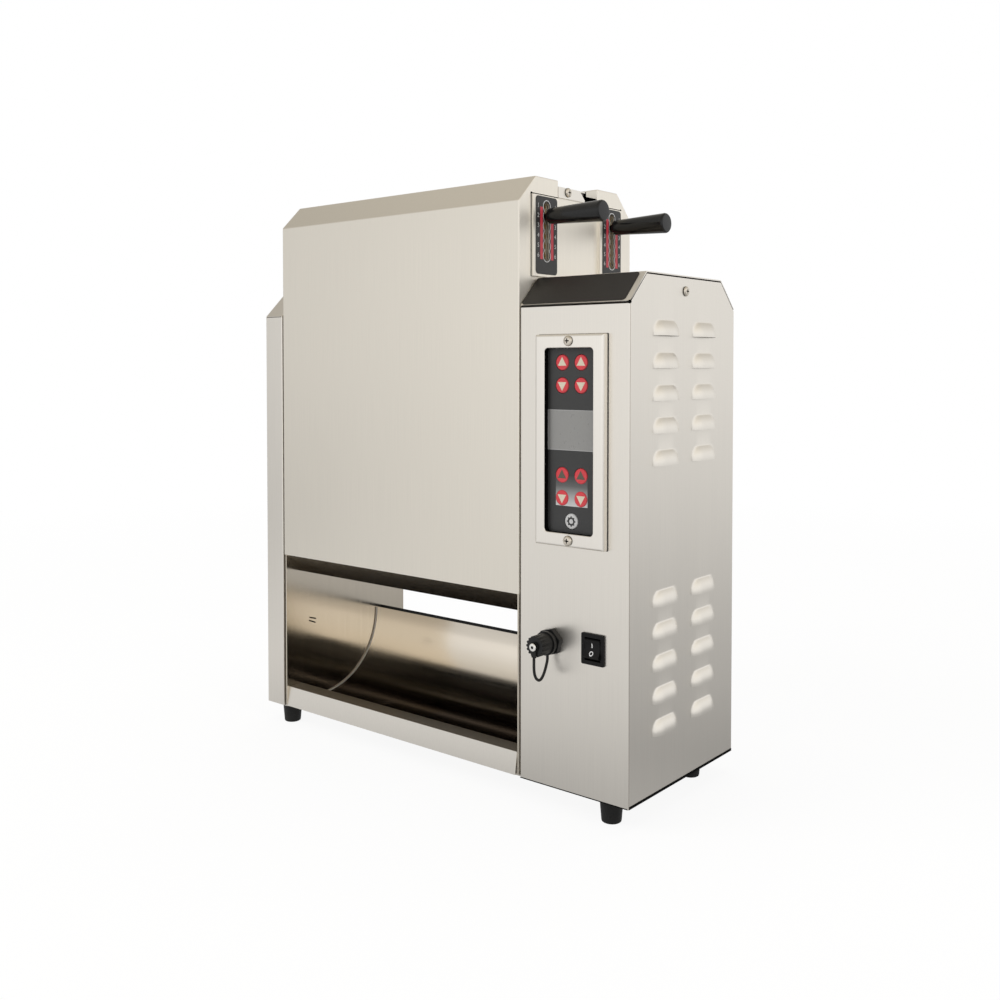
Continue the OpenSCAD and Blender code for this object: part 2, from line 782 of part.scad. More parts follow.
module rocker_frame() {
    pivot_reach = rocker_in_w / 2 + rocker_pin + hole_gap;
    color([0.08, 0.08, 0.08]) in_frame() difference() {
        union() {
            along_y(-rocker_frame_t, rocker_frame_t)
                translate([rocker_x, switch_z]) round_rect(rocker_w, rocker_h, rocker_corner_r);
            along_y(0, rocker_depth)
                translate([rocker_x, switch_z]) square([rocker_body_w, rocker_body_h], center = true);
        }
        along_y(-rocker_frame_t - eps, rocker_depth + rocker_frame_t + eps - rocker_wall)
            translate([rocker_x, switch_z]) square([rocker_in_w, rocker_in_h], center = true);
        rod_x(rocker_x - pivot_reach, rocker_x + pivot_reach,
              rocker_pivot_y, switch_z, rocker_pivot_d + 2 * run_clear);
    }
}

module rocker() {
    w = rocker_in_w - 2 * fit_gap;
    nose = rocker_pivot_y + rocker_frame_t + rocker_nose;
    color([0.1, 0.1, 0.1]) in_frame() translate([rocker_x, rocker_pivot_y, switch_z])
        rotate([-rocker_tilt, 0, 0]) {
            difference() {
                intersection() {
                    rotate([0, 90, 0]) cylinder(h = w, r = rocker_r, center = true);
                    translate([-w / 2, -nose, -rocker_r]) cube([w, nose + rocker_back, 2 * rocker_r]);
                }
                translate([0, rocker_dish_depth - nose - rocker_dish_r, 0]) rotate([0, 90, 0])
                    cylinder(h = w + 2 * eps, r = rocker_dish_r, center = true);
            }
            rotate([0, 90, 0])
                cylinder(h = rocker_in_w + 2 * rocker_pin, d = rocker_pivot_d, center = true);
        }
}

// Sealed data port: a threaded barrel through the panel, its nut, a ribbed screw cap and its screw
barrel_l = 20;
neck_d = 14;
neck_l = 8;
barrel_flange_d = 24;
barrel_flange_t = 2.5;
barrel_end_t = 4;
neck_wall = 2;

module port_barrel() {
    color([0.12, 0.12, 0.12]) in_frame() difference() {
        union() {
            rod_y(-nut_t - neck_l, barrel_l, port_x, switch_z, neck_d);
            rod_y(-nut_t, barrel_l, port_x, switch_z, barrel_d);
            rod_y(sheet, sheet + barrel_flange_t, port_x, switch_z, barrel_flange_d);
        }
        rod_y(-nut_t - neck_l - eps, barrel_l - barrel_end_t, port_x, switch_z, neck_d - 2 * neck_wall);
    }
}

nut_turn = 16;

module port_nut() {
    color([0.08, 0.08, 0.08]) in_frame() difference() {
        translate([port_x, -nut_t, switch_z]) rotate([-90, 0, 0]) rotate(-nut_turn)
            cylinder(h = nut_t, d = nut_flats / cos(30), $fn = 6);
        rod_y(-nut_t - eps, eps, port_x, switch_z, barrel_d + 2 * run_clear);
    }
}

cap_y1 = -nut_t - ring_w - 2 * fit_gap;
cap_y0 = cap_y1 - port_cap_l;
cap_rib_n = 16;
cap_rib_d = 2.4;
cap_taper = 1.4;
collar_w = 3;
collar_out = 1.5;
cap_thread_l = 5;

module port_cap() {
    front_r = (port_cap_d - cap_rib_d) / 2;
    collar_r = port_cap_d / 2 + collar_out;
    color([0.07, 0.07, 0.07]) in_frame() difference() {
        union() {
            translate([port_x, cap_y0, switch_z]) rotate([-90, 0, 0]) rotate_extrude() polygon([
                [0, 0], [front_r, 0], [front_r + cap_taper, port_cap_l - collar_w],
                [collar_r, port_cap_l - collar_w], [collar_r, port_cap_l], [0, port_cap_l]
            ]);
            for (i = [0 : cap_rib_n - 1])
                translate([port_x, 0, switch_z]) rotate([0, i * 360 / cap_rib_n, 0])
                    rod_y(cap_y0, cap_y1 - collar_w / 2, front_r, 0, cap_rib_d);
        }
        rod_y(-nut_t - neck_l - clear_gap, cap_y1 + eps, port_x, switch_z, neck_d + 2 * fit_gap);
        rod_y(cap_y0 - eps, cap_y0 + cap_thread_l + clear_gap, port_x, switch_z, screw_shank_d);
    }
}

// The screw holds the eye of the tether's tongue against the front of the cap.
tongue_y1 = cap_y0 - fit_gap;
tongue_y0 = tongue_y1 - tongue_t;
cap_head_y = tongue_y0 - fit_gap;

module port_cap_screw() {
    color("silver") in_frame() difference() {
        union() {
            rod_y(cap_head_y - cap_screw_h, cap_head_y, port_x, switch_z, screw_head_d);
            rod_y(cap_head_y, cap_y0 + cap_thread_l, port_x, switch_z, screw_shank_d);
        }
        block(port_x - screw_head_d, port_x + screw_head_d,
              cap_head_y - cap_screw_h - eps, cap_head_y - cap_screw_h + driver_slot,
              switch_z - driver_slot / 2, switch_z + driver_slot / 2);
    }
}

// Ends of the tether: a ring round the barrel's neck, and a tongue with an eye for the cap's screw
ring_wall = 4;
ring_d = neck_d + 2 * ring_wall;
tongue_w = 5;
tongue_z = switch_z - port_cap_d / 2;

module tether_ring() {
    color([0.08, 0.08, 0.08]) in_frame() {
        difference() {
            rod_y(cap_y1 + fit_gap, cap_y1 + fit_gap + ring_w, port_x, switch_z, ring_d);
            rod_y(cap_y1, -nut_t, port_x, switch_z, neck_d + 2 * fit_gap);
        }
        difference() {
            union() {
                rod_y(tongue_y0, tongue_y1, port_x, switch_z, screw_head_d + tongue_t);
                block(port_x - tongue_w / 2, port_x + tongue_w / 2, tongue_y0, tongue_y1, tongue_z, switch_z);
            }
            rod_y(tongue_y0 - eps, tongue_y1 + eps, port_x, switch_z, screw_shank_d + 2 * fit_gap);
        }
    }
}

// The tether strap hangs in a loop from the tongue to the ring. Its route gives the share of the way
// across and z below a straight line from end to end.
tether_d = 2.8;
tether_sides = 8;
tether_y0 = (tongue_y0 + tongue_y1) / 2;
tether_span = cap_y1 + fit_gap + ring_w / 2 - tether_y0;
tether_lift = switch_z - ring_d / 2 - tongue_z;
tether_across = [0, 0, 0, 0.02, 0.07, 0.15, 0.26, 0.385, 0.54, 0.66, 0.76, 0.85, 0.93, 0.98, 1, 1];
tether_drop = [0, 4, 9, 13.6, 17.4, 20.3, 22.3, 23.4, 22.6, 20.3, 17.4, 13.9, 9.8, 7, 4, 0];
tether_last = len(tether_drop) - 1;
tether_route = [for (i = [0 : tether_last])
    [port_x, tether_y0 + tether_span * tether_across[i],
     tongue_z - tether_drop[i] + tether_lift * tether_across[i]]];

function tether_dir(i) =
    let (a = tether_route[max(i - 1, 0)], b = tether_route[min(i + 1, tether_last)])
    i == 0 ? [0, 0, -1] : i == tether_last ? [0, 0, 1] : (b - a) / norm(b - a);

function tether_ring_points(i) =
    let (t = tether_dir(i), n = cross(t, [1, 0, 0]))
    [for (k = [0 : tether_sides - 1])
        let (a = 360 * k / tether_sides)
        tether_route[i] + tether_d / 2 * (cos(a) * [1, 0, 0] + sin(a) * n)];

module cap_tether() {
    n = tether_sides;
    points = [for (i = [0 : tether_last]) each tether_ring_points(i)];
    sides = [for (i = [0 : tether_last - 1], k = [0 : n - 1])
        let (a = i * n + k, b = i * n + (k + 1) % n)
        each [[a, b, b + n], [a, b + n, a + n]]];
    first = [for (k = [1 : n - 2]) [0, k + 1, k]];
    last = [for (k = [1 : n - 2]) [tether_last * n, tether_last * n + k, tether_last * n + k + 1]];
    color([0.08, 0.08, 0.08]) in_frame() polyhedron(points, concat(sides, first, last), convexity = 4);
}

// The heated platen between the two belts, with bores for the cartridge heaters
module platen() {
    color([0.6, 0.6, 0.6]) in_frame() difference() {
        block(frame_x0, frame_x1, mid_y - platen_t / 2, mid_y + platen_t / 2, platen_bottom, cap_z);
        for (z = heater_z)
            rod_x(frame_x0 - eps, frame_x1 + eps, mid_y, z, heater_d + 2 * run_clear);
    }
}

heater_out = 6;
heater_end = box_x0 + sheet + heater_out;

module platen_heaters() {
    color([0.45, 0.42, 0.4]) in_frame()
        for (z = heater_z) rod_x(frame_x0, heater_end, mid_y, z, heater_d);
}

// Non-stick sheets that hang over both faces of the platen, and the cap that clamps them
release_drop = 8;

module release_sheets() {
    color([0.35, 0.25, 0.15]) in_frame()
        for (y = [mid_y - platen_t / 2 - release_t, mid_y + platen_t / 2])
            block(frame_x0 + clear_gap, frame_x1 - clear_gap, y, y + release_t,
                  platen_bottom - release_drop, cap_z);
}

module platen_cap() {
    y0 = mid_y - platen_t / 2 - release_t;
    y1 = mid_y + platen_t / 2 + release_t;
    color("gainsboro") in_frame() {
        block(cover_x0 + sheet, cover_x1 - sheet, y0 - sheet, y1 + sheet, cap_z, flap_top);
        for (y = [y0 - sheet, y1])
            block(frame_x0 + clear_gap, frame_x1 - clear_gap, y, y + sheet, cap_z - cap_skirt, cap_z);
        for (x = [cover_x0, cover_x1 - sheet]) difference() {
            along_x(x, sheet) polygon([
                [flap_y0, slit_z], [flap_y1, slit_z], [flap_y1, flap_top - flap_chamfer],
                [flap_y1 - flap_chamfer, flap_top], [flap_y0, flap_top]
            ]);
            rod_x(x - eps, x + sheet + eps, flap_screw_y, flap_screw_z, screw_shank_d + 2 * hole_gap);
        }
    }
}

// Flanged bushes of the drive shafts in both end frames
bush_flange_d = 21;
bush_flange_t = 2;
bush_in = 3.3;
bush_out = 2;

module bush(x_face, inward) {
    x_in = x_face + inward * bush_in;
    x_out = x_face - inward * (frame_t + bush_out);
    x_flange = x_face + inward * bush_flange_t;
    for (y = [drive_y, rear_drive_y]) difference() {
        union() {
            rod_x(min(x_in, x_out), max(x_in, x_out), y, drive_z, bush_d);
            rod_x(min(x_face, x_flange), max(x_face, x_flange), y, drive_z, bush_flange_d);
        }
        rod_x(min(x_in, x_out) - eps, max(x_in, x_out) + eps, y, drive_z, shaft_d + 2 * run_clear);
    }
}

module shaft_bushes() {
    color("goldenrod") in_frame() {
        bush(frame_x0, 1);
        bush(frame_x1, -1);
    }
}

// Gearmotor on four posts, with the stud of the idler gear
gear_gap = 4;
gearbox_gap = 2;
gear_x0 = box_x0 + sheet + gear_gap;
gear_x1 = gear_x0 + gear_w;
gearbox_x0 = gear_x1 + gearbox_gap;
gearbox_margin = 10;
gearbox_l = 26;
motor_d = 56;
motor_l = 52;
post_d = 8;
post_up = 30;
stud_d = 8;
output_d = 10;
output_in = 16;

module gearmotor() {
    color([0.35, 0.36, 0.38]) in_frame() {
        difference() {
            union() {
                block(gearbox_x0, gearbox_x0 + gearbox_l,
                      pinion_y - gearbox_margin, idler_gear_y + gearbox_margin,
                      drive_z - post_up - post_d, drive_z + post_up + post_d);
                rod_x(gearbox_x0 + gearbox_l, gearbox_x0 + gearbox_l + motor_l,
                      (pinion_y + idler_gear_y) / 2, drive_z, motor_d);
            }
            rod_x(gearbox_x0 - eps, gearbox_x0 + output_in + clear_gap,
                  pinion_y, drive_z, output_d + 2 * run_clear);
        }
        for (y = [pinion_y, idler_gear_y], z = [-post_up, post_up])
            rod_x(box_x0 + sheet, gearbox_x0, y, drive_z + z, post_d);
        rod_x(gear_x0 - clear_gap, gearbox_x0, idler_gear_y, drive_z, stud_d);
    }
}

// Involute gears; each gear's phase is set so that it meshes with the one before it.
pressure_angle = 20;
backlash = 0.4;
addendum = 0.9;
dedendum = 1.25;
flank_steps = 4;

function involute(rb, r) = let (a = acos(min(1, rb / r))) tan(a) * 180 / PI - a;

function gear_points(teeth, phase) =
    let (
        rp = gear_module * teeth / 2,
        rb = rp * cos(pressure_angle),
        root = rp - dedendum * gear_module,
        tip = rp + addendum * gear_module,
        low = max(root, rb),
        half = 90 / teeth - backlash / 4 / rp * 180 / PI + involute(rb, rp),
        flank = [for (i = [0 : flank_steps]) low + (tip - low) * i / flank_steps],
        radii = concat(root < rb ? [root] : [], flank),
        n = len(radii) - 1
    )
    [for (i = [0 : teeth - 1]) each concat(
        [for (j = [0 : n])
            let (a = phase + 360 * i / teeth - half + involute(rb, max(radii[j], rb)))
            radii[j] * [cos(a), sin(a)]],
        [for (j = [n : -1 : 0])
            let (a = phase + 360 * i / teeth + half - involute(rb, max(radii[j], rb)))
            radii[j] * [cos(a), sin(a)]]
    )];

module gear(teeth, phase, y, bore) {
    along_x(gear_x0, gear_w) translate([y, drive_z]) difference() {
        polygon(gear_points(teeth, phase));
        circle(d = bore);
    }
}

pinion_phase = 180 + 180 / pinion_teeth;
rear_phase = 180 + 180 / drive_teeth;

module drive_gear(y, phase) {
    color([0.75, 0.7, 0.5]) in_frame() gear(drive_teeth, phase, y, shaft_d + 2 * run_clear);
}

module motor_pinion() {
    color([0.6, 0.6, 0.62]) in_frame() {
        gear(pinion_teeth, pinion_phase, pinion_y, output_d);
        rod_x(gear_x0, gearbox_x0 + output_in, pinion_y, drive_z, output_d);
    }
}

module idler_gear() {
    color([0.75, 0.7, 0.5]) in_frame() gear(pinion_teeth, 0, idler_gear_y, stud_d + 2 * run_clear);
}

// Belts, rollers and the swinging carriages that carry them. Each carriage swings about its drive
// shaft, and the end of its idler axle runs in the sloping groove of the lever slide.
plate_gap = 0.5;
side_t = 3;
belt_in_r = roller_d / 2 + belt_clear;
belt_out_r = belt_in_r + belt_t;
slide_side_gap = 1.8;
belt_side_gap = 2.5;
side_x0 = frame_x0 + bush_in + plate_gap;
side_x1 = slide_x0 - slide_side_gap;
belt_x0 = side_x0 + side_t + belt_side_gap;
belt_x1 = side_x1 - side_t - belt_side_gap;
roller_gap = 0.5;

module racetrack(x0, x1, r) {
    for (z = [drive_z, idler_z]) rod_x(x0, x1, drive_y, z, 2 * r);
    block(x0, x1, drive_y - r, drive_y + r, drive_z, idler_z);
}

module belt() {
    difference() {
        racetrack(belt_x0, belt_x1, belt_out_r);
        racetrack(belt_x0 - eps, belt_x1 + eps, belt_in_r);
    }
}

module front_belt() {
    color([0.55, 0.3, 0.2]) in_frame() belt();
}

module rear_belt() {
    color([0.55, 0.3, 0.2]) in_frame() rear_side() belt();
}

press_t = 3;
press_gap = 2;
cam_pin_d = 8;
groove_h = 3;
tie_d = 10;
hub_d = 32;

module carriage_side(x0) {
    r = belt_in_r - plate_gap;
    block(x0, x0 + side_t, drive_y - r, drive_y + r, drive_z + hub_d / 4, idler_z);
    rod_x(x0, x0 + side_t, drive_y, drive_z, hub_d);
    rod_x(x0, x0 + side_t, drive_y, idler_z, 2 * r);
}

module carriage() {
    press_y1 = drive_y + belt_in_r - plate_gap;
    press_z0 = drive_z + roller_d / 2 + press_gap;
    press_z1 = idler_z - roller_d / 2 - press_gap;
    difference() {
        union() {
            carriage_side(side_x0);
            carriage_side(side_x1 - side_t);
            block(side_x0, side_x1, press_y1 - press_t, press_y1, press_z0, press_z1);
            rod_x(side_x0, side_x1, drive_y - tie_d, (press_z0 + press_z1) / 2, tie_d);
            rod_x(side_x0, side_x1, drive_y, idler_z, shaft_d);
            rod_x(side_x1 - side_t, slide_x0 + groove_h - plate_gap, drive_y, idler_z, cam_pin_d);
        }
        rod_x(side_x0 - eps, side_x1 + eps, drive_y, drive_z, shaft_d + 2 * run_clear);
    }
}

module front_carriage() {
    color([0.7, 0.7, 0.72]) in_frame() carriage();
}

module rear_carriage() {
    color([0.7, 0.7, 0.72]) in_frame() rear_side() carriage();
}

shaft_x0 = frame_x0 - frame_t - bush_out + plate_gap;

module drive_roller() {
    rod_x(shaft_x0, gear_x1, drive_y, drive_z, shaft_d);
    rod_x(belt_x0 + roller_gap, belt_x1 - roller_gap, drive_y, drive_z, roller_d);
}

module front_drive_roller() {
    color([0.5, 0.5, 0.52]) in_frame() drive_roller();
}

module rear_drive_roller() {
    color([0.5, 0.5, 0.52]) in_frame() rear_side() drive_roller();
}

module idler_roller() {
    difference() {
        rod_x(belt_x0 + roller_gap, belt_x1 - roller_gap, drive_y, idler_z, roller_d);
        rod_x(belt_x0, belt_x1, drive_y, idler_z, shaft_d + 2 * run_clear);
    }
}

module front_idler_roller() {
    color([0.5, 0.5, 0.52]) in_frame() idler_roller();
}

module rear_idler_roller() {
    color([0.5, 0.5, 0.52]) in_frame() rear_side() idler_roller();
}

// Lever slide with a sloping groove for the carriage's pin, and the rod that reaches out to the grip
groove_gap = 0.5;
slide_margin = 10;
grip_stand = 4.4;
grip_x0 = index_x + index_t + grip_stand;
rod_in_grip = 40;
slide_z0 = min(lever_z, idler_z - lever_rise) - slide_margin;
slide_z1 = max(lever_z + lever_d, idler_z + lever_drop + slide_margin / 2);

module cam_groove() {
    d = cam_pin_d + 2 * groove_gap;
    low = [drive_y + cam_slope * lever_rise, idler_z - lever_rise];
    high = [drive_y - cam_slope * lever_drop, idler_z + lever_drop];
    run = high - low;
    along_x(slide_x0 - eps, groove_h + eps) {
        for (p = [low, high]) translate(p) circle(d = d);
        translate(low) rotate(atan2(run[1], run[0])) translate([0, -d / 2]) square([norm(run), d]);
    }
}

module lever() {
    difference() {
        block(slide_x0, slide_x1, slide_y0, slide_y1, slide_z0, slide_z1);
        cam_groove();
    }
    rod_x(slide_x1, grip_x0 + rod_in_grip, lever_y, lever_z, lever_d);
}

module front_lever() {
    color("silver") in_frame() lever();
}

module rear_lever() {
    color("silver") in_frame() rear_side() lever();
}

// Tapered plastic grips, thin at the base and thick at the free end
grip_edge = 1;

module lever_grip() {
    base_r = grip_base_d / 2;
    end_r = grip_end_d / 2;
    translate([grip_x0, lever_y, lever_z]) rotate([0, 90, 0]) rotate_extrude() difference() {
        polygon([
            [0, 0], [base_r - grip_edge, 0], [base_r, grip_edge],
            [end_r, grip_l - grip_edge], [end_r - grip_edge, grip_l], [0, grip_l]
        ]);
        translate([0, -eps]) square([lever_d / 2, rod_in_grip + eps]);
    }
}

module front_lever_grip() {
    color([0.06, 0.06, 0.06]) in_frame() lever_grip();
}

module rear_lever_grip() {
    color([0.06, 0.06, 0.06]) in_frame() rear_side() lever_grip();
}

// Control board on four stand-offs behind the keypad, with a heatsink and a transformer
board_y = 14;
board_t = 1.6;
board_margin = 8;
standoff_d = 6;
standoff_in = 4;
transformer_h = 20.4;
heatsink_h = 12.4;

module control_board() {
    w = window_w + 2 * board_margin;
    h = window_h + 2 * board_margin;
    back_y = board_y + board_t;
    color([0.1, 0.35, 0.18]) in_frame() {
        along_y(board_y, board_t) translate([panel_x, bezel_z]) square([w, h], center = true);
        for (sx = [-1, 1], sz = [-1, 1])
            rod_y(sheet, board_y, panel_x + sx * (w / 2 - standoff_in), bezel_z + sz * (h / 2 - standoff_in),
                  standoff_d);
        block(panel_x - w / 4, panel_x + w / 4, back_y, back_y + transformer_h,
              bezel_z + h / 6, bezel_z + h / 3);
        block(panel_x - w / 5, panel_x + w / 5, back_y, back_y + heatsink_h,
              bezel_z - h / 3, bezel_z - h / 8);
    }
}

// Pan-head screws, drawn with the head outwards along +z
module screw() {
    cylinder(h = screw_head_h / 2, d = screw_head_d);
    translate([0, 0, screw_head_h / 2])
        cylinder(h = screw_head_h / 2, d1 = screw_head_d, d2 = screw_head_d - screw_head_h);
    translate([0, 0, -screw_l]) cylinder(h = screw_l + eps, d = screw_shank_d);
}

module screws() {
    color("silver") in_frame() {
        for (z = [-1, 1])
            translate([panel_x, -bezel_out, bezel_z + z * bezel_screw_z]) rotate([90, 0, 0]) screw();
        translate([box_x1, mid_y, side_screw_z]) rotate([0, 90, 0]) screw();
        for (x = panel_screw_x, z = panel_screw_z)
            translate([x, body_d, z]) rotate([-90, 0, 0]) screw();
        translate([cover_x1, flap_screw_y, flap_screw_z]) rotate([0, 90, 0]) screw();
        translate([cover_x0, flap_screw_y, flap_screw_z]) rotate([0, -90, 0]) screw();
    }
}

// Cable gland in the rear panel: hexagon, domed nut and a threaded stem with its lock nut
gland_hex = 22;
gland_dome_d = 19;
gland_bore_d = 9;
gland_stem_l = 12;
gland_nut_t = 4;
gland_cone_l = 6.4;
gland_wall = 2;

module cable_gland() {
    color([0.1, 0.1, 0.1]) in_frame() translate([panel_x, body_d, gland_z]) rotate([-90, 0, 0]) difference() {
        union() {
            cylinder(h = gland_hex_t, d = gland_hex, $fn = 6);
            translate([0, 0, gland_hex_t]) cylinder(h = gland_dome_l - gland_cone_l, d = gland_dome_d);
            translate([0, 0, gland_out - gland_cone_l])
                cylinder(h = gland_cone_l, d1 = gland_dome_d, d2 = gland_bore_d + 2 * gland_wall);
            translate([0, 0, -gland_stem_l]) cylinder(h = gland_stem_l, d = gland_thread_d);
            translate([0, 0, -sheet - gland_nut_t]) cylinder(h = gland_nut_t, d = gland_hex, $fn = 6);
        }
        translate([0, 0, -gland_stem_l - eps])
            cylinder(h = gland_stem_l + gland_out + 2 * eps, d = gland_bore_d);
    }
}

base_pan();
left_end_frame();
right_end_frame();
left_housing();
control_housing();
control_top_cover();
control_rear_panel();
front_cover();
rear_cover();
chute();
front_rail();
rear_rail();
feet();
index_plates();
name_plate();
control_bezel();
keypad_overlay();
display_window();
rocker_frame();
port_barrel();
port_nut();
platen();
platen_heaters();
release_sheets();
platen_cap();
shaft_bushes();
gearmotor();
control_board();
screws();
cable_gland();
cap_tether();
tether_ring();
rocker();
port_cap();
port_cap_screw();
key(-1, key_rows[0]);  // raise_key_left
key(1, key_rows[0]);  // raise_key_right
key(-1, key_rows[1]);  // lower_key_left
key(1, key_rows[1]);  // lower_key_right
key(-1, key_rows[2]);  // darker_key_left
key(1, key_rows[2]);  // darker_key_right
key(-1, key_rows[3]);  // lighter_key_left
key(1, key_rows[3]);  // lighter_key_right
key(0, menu_up);  // menu_key
front_lever();
rear_lever();
front_lever_grip();
rear_lever_grip();
front_carriage();
rear_carriage();
front_belt();
rear_belt();
front_drive_roller();
rear_drive_roller();
front_idler_roller();
rear_idler_roller();
drive_gear(drive_y, 0);  // front_drive_gear
drive_gear(rear_drive_y, rear_phase);  // rear_drive_gear
motor_pinion();
idler_gear();
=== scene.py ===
import math

import bmesh
import bpy
from mathutils import Matrix, Vector
from mathutils.bvhtree import BVHTree


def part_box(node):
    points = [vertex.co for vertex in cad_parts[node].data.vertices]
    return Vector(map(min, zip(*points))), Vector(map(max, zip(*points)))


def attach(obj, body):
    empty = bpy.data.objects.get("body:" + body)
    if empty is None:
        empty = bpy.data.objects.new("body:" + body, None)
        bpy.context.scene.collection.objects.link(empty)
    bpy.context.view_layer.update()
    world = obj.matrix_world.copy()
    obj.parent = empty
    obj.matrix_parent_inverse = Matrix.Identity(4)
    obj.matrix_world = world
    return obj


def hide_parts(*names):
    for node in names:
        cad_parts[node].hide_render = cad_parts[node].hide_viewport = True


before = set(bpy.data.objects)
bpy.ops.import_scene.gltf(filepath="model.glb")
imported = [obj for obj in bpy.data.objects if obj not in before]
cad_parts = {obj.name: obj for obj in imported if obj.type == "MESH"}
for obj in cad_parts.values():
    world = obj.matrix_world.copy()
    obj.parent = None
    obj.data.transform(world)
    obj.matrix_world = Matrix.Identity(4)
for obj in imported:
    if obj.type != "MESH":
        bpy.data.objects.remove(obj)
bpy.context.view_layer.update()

scene = bpy.context.scene

# Camera: it stands off the front right corner, a little above the display, and looks almost level.
# The lens is shifted down, so that the upright edges stay upright in the picture.
camera_data = bpy.data.cameras.new("photo_camera")
camera_data.lens = 38.93
camera_data.sensor_width = 36
camera_data.shift_y = -0.104
camera = bpy.data.objects.new("photo_camera", camera_data)
camera.location = (0.7975, -0.94225, 0.4356)
camera.rotation_euler = (math.radians(90 - 1.589), 0, math.radians(39.31))
scene.collection.objects.link(camera)
scene.camera = camera
scene.view_settings.view_transform = "Standard"

# Tether: a soft moulded rubber cord that keeps the port's screw cap from being lost.
# It runs from a tongue under the cap's screw, hangs in a loop and ends at a ring round the port's neck.
tether_thick = 0.0028
tether_across = [0, 0, 0, 0.02, 0.07, 0.15, 0.26, 0.385, 0.54, 0.66, 0.76, 0.85, 0.93, 0.98, 1, 1]
tether_drop_mm = [0, 4, 9, 13.6, 17.4, 20.3, 22.3, 23.4, 22.6, 20.3, 17.4, 13.9, 9.8, 7, 4, 0]
tongue_half, ring_half, tongue_down = 0.00075, 0.0012, 0.01025


def add(tree, kind, settings=None, **sockets):
    """A new shader node with its settings; each socket is linked to an output or given a value."""
    node = tree.nodes.new("ShaderNode" + kind)
    for name, value in (settings or {}).items():
        setattr(node, name, value)
    for name, value in sockets.items():
        socket = node.inputs[name.replace("_", " ")]
        if isinstance(value, bpy.types.NodeSocket):
            tree.links.new(value, socket)
        else:
            socket.default_value = value
    return node


def surface(name, **sockets):
    """A new material, its node tree and its shader with the constant sockets set."""
    material = bpy.data.materials.new(name)
    material.use_nodes = True
    tree = material.node_tree
    skin = tree.nodes["Principled BSDF"]
    for socket, value in sockets.items():
        skin.inputs[socket.replace("_", " ")].default_value = value
    return material, tree, skin


def noise(tree, scale, detail=2.0):
    """Noise in the piece's own coordinates; the scale is one number, or one for each axis."""
    if not isinstance(scale, tuple):
        scale = (scale, scale, scale)
    place = add(tree, "TexCoord").outputs["Object"]
    place = add(tree, "Mapping", Vector=place, Scale=scale).outputs["Vector"]
    return add(tree, "TexNoise", Vector=place, Scale=1.0, Detail=detail).outputs[0]


def between(tree, value, low, high, start=0.3, end=0.7):
    """A value from start to end carried over to the range from low to high."""
    ramp = add(tree, "MapRange", Value=value, From_Min=start, From_Max=end, To_Min=low, To_Max=high)
    return ramp.outputs["Result"]


def stops(tree, value, *marks):
    """A colour over a value; each mark is a place from 0 to 1 and its colour."""
    ramp = add(tree, "ValToRGB", Fac=value)
    points = ramp.color_ramp.elements
    while len(points) < len(marks):
        points.new(1.0)
    for point, (place, colour) in zip(points, marks):
        point.position = place
        point.color = (*colour, 1)
    return ramp.outputs["Color"]


def tones(tree, value, dark, light, start=0.3, end=0.7):
    """A colour from dark to light over a value."""
    return stops(tree, value, (start, dark), (end, light))


def moulded(name, dark, light, gloss, bump=0.1, shine=0.5):
    """A moulded rubber or plastic skin: fine grain, with slightly worn and dusty patches."""
    material, tree, skin = surface(name, Specular_IOR_Level=shine)
    grain = noise(tree, 1500, 3)
    patches = noise(tree, 60, 4)
    tree.links.new(tones(tree, patches, dark, light), skin.inputs["Base Color"])
    tree.links.new(between(tree, patches, gloss - 0.05, gloss + 0.05), skin.inputs["Roughness"])
    relief = add(tree, "Bump", Height=grain, Strength=bump, Distance=0.0002)
    tree.links.new(relief.outputs["Normal"], skin.inputs["Normal"])
    return material


rubber = moulded("black_rubber", (0.006, 0.006, 0.006), (0.012, 0.012, 0.011), 0.5, 0.1, 0.3)
ring_low, ring_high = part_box("tether_ring")
axis_x, axis_z = (ring_low.x + ring_high.x) / 2, (ring_low.z + ring_high.z) / 2
tether_start = Vector((axis_x, ring_low.y + tongue_half, axis_z - tongue_down))
tether_end = Vector((axis_x, ring_high.y - ring_half, ring_low.z))
tether_curve = bpy.data.curves.new("tether_cord", "CURVE")
tether_curve.dimensions = "3D"
tether_curve.bevel_depth = tether_thick / 2
tether_curve.bevel_resolution = 6
tether_curve.resolution_u = 6
tether_curve.use_fill_caps = True
tether_line = tether_curve.splines.new("BEZIER")
tether_line.bezier_points.add(len(tether_drop_mm) - 1)
for knot, share, drop in zip(tether_line.bezier_points, tether_across, tether_drop_mm):
    knot.co = tether_start.lerp(tether_end, share)
    knot.co.z -= drop / 1000
    knot.handle_left_type = knot.handle_right_type = "AUTO"
tether = bpy.data.objects.new("tether_cord", tether_curve)
tether_curve.materials.append(rubber)
scene.collection.objects.link(tether)
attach(tether, "casing")
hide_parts("cap_tether")

# Floor and light: a pale table in a plain white room, lit by a wide soft lamp at the front left, a
# weaker one at the right and one overhead. The floor keeps the shadow, and the steel mirrors a room
# that is white at the horizon and darker overhead, at the back and at the left. In these reflections the
# floor carries a painted shadow, darkest close to the toaster and darker behind it to the right.
floor_data = bpy.data.meshes.new("pale_floor")
bm = bmesh.new()
bmesh.ops.create_grid(bm, x_segments=1, y_segments=1, size=8)
bm.to_mesh(floor_data)
bm.free()
floor = bpy.data.objects.new("pale_floor", floor_data)
scene.collection.objects.link(floor)


def calc(tree, operation, *values):
    """The result of a Math node; each value is linked or set."""
    node = add(tree, "Math", {"operation": operation})
    for socket, value in zip(node.inputs, values):
        if isinstance(value, bpy.types.NodeSocket):
            tree.links.new(value, socket)
        else:
            socket.default_value = value
    return node.outputs[0]


def towards(tree, place, way):
    """How far a place lies along a direction."""
    node = add(tree, "VectorMath", {"operation": "DOT_PRODUCT"}, Vector=place)
    node.inputs[1].default_value = way
    return node.outputs["Value"]


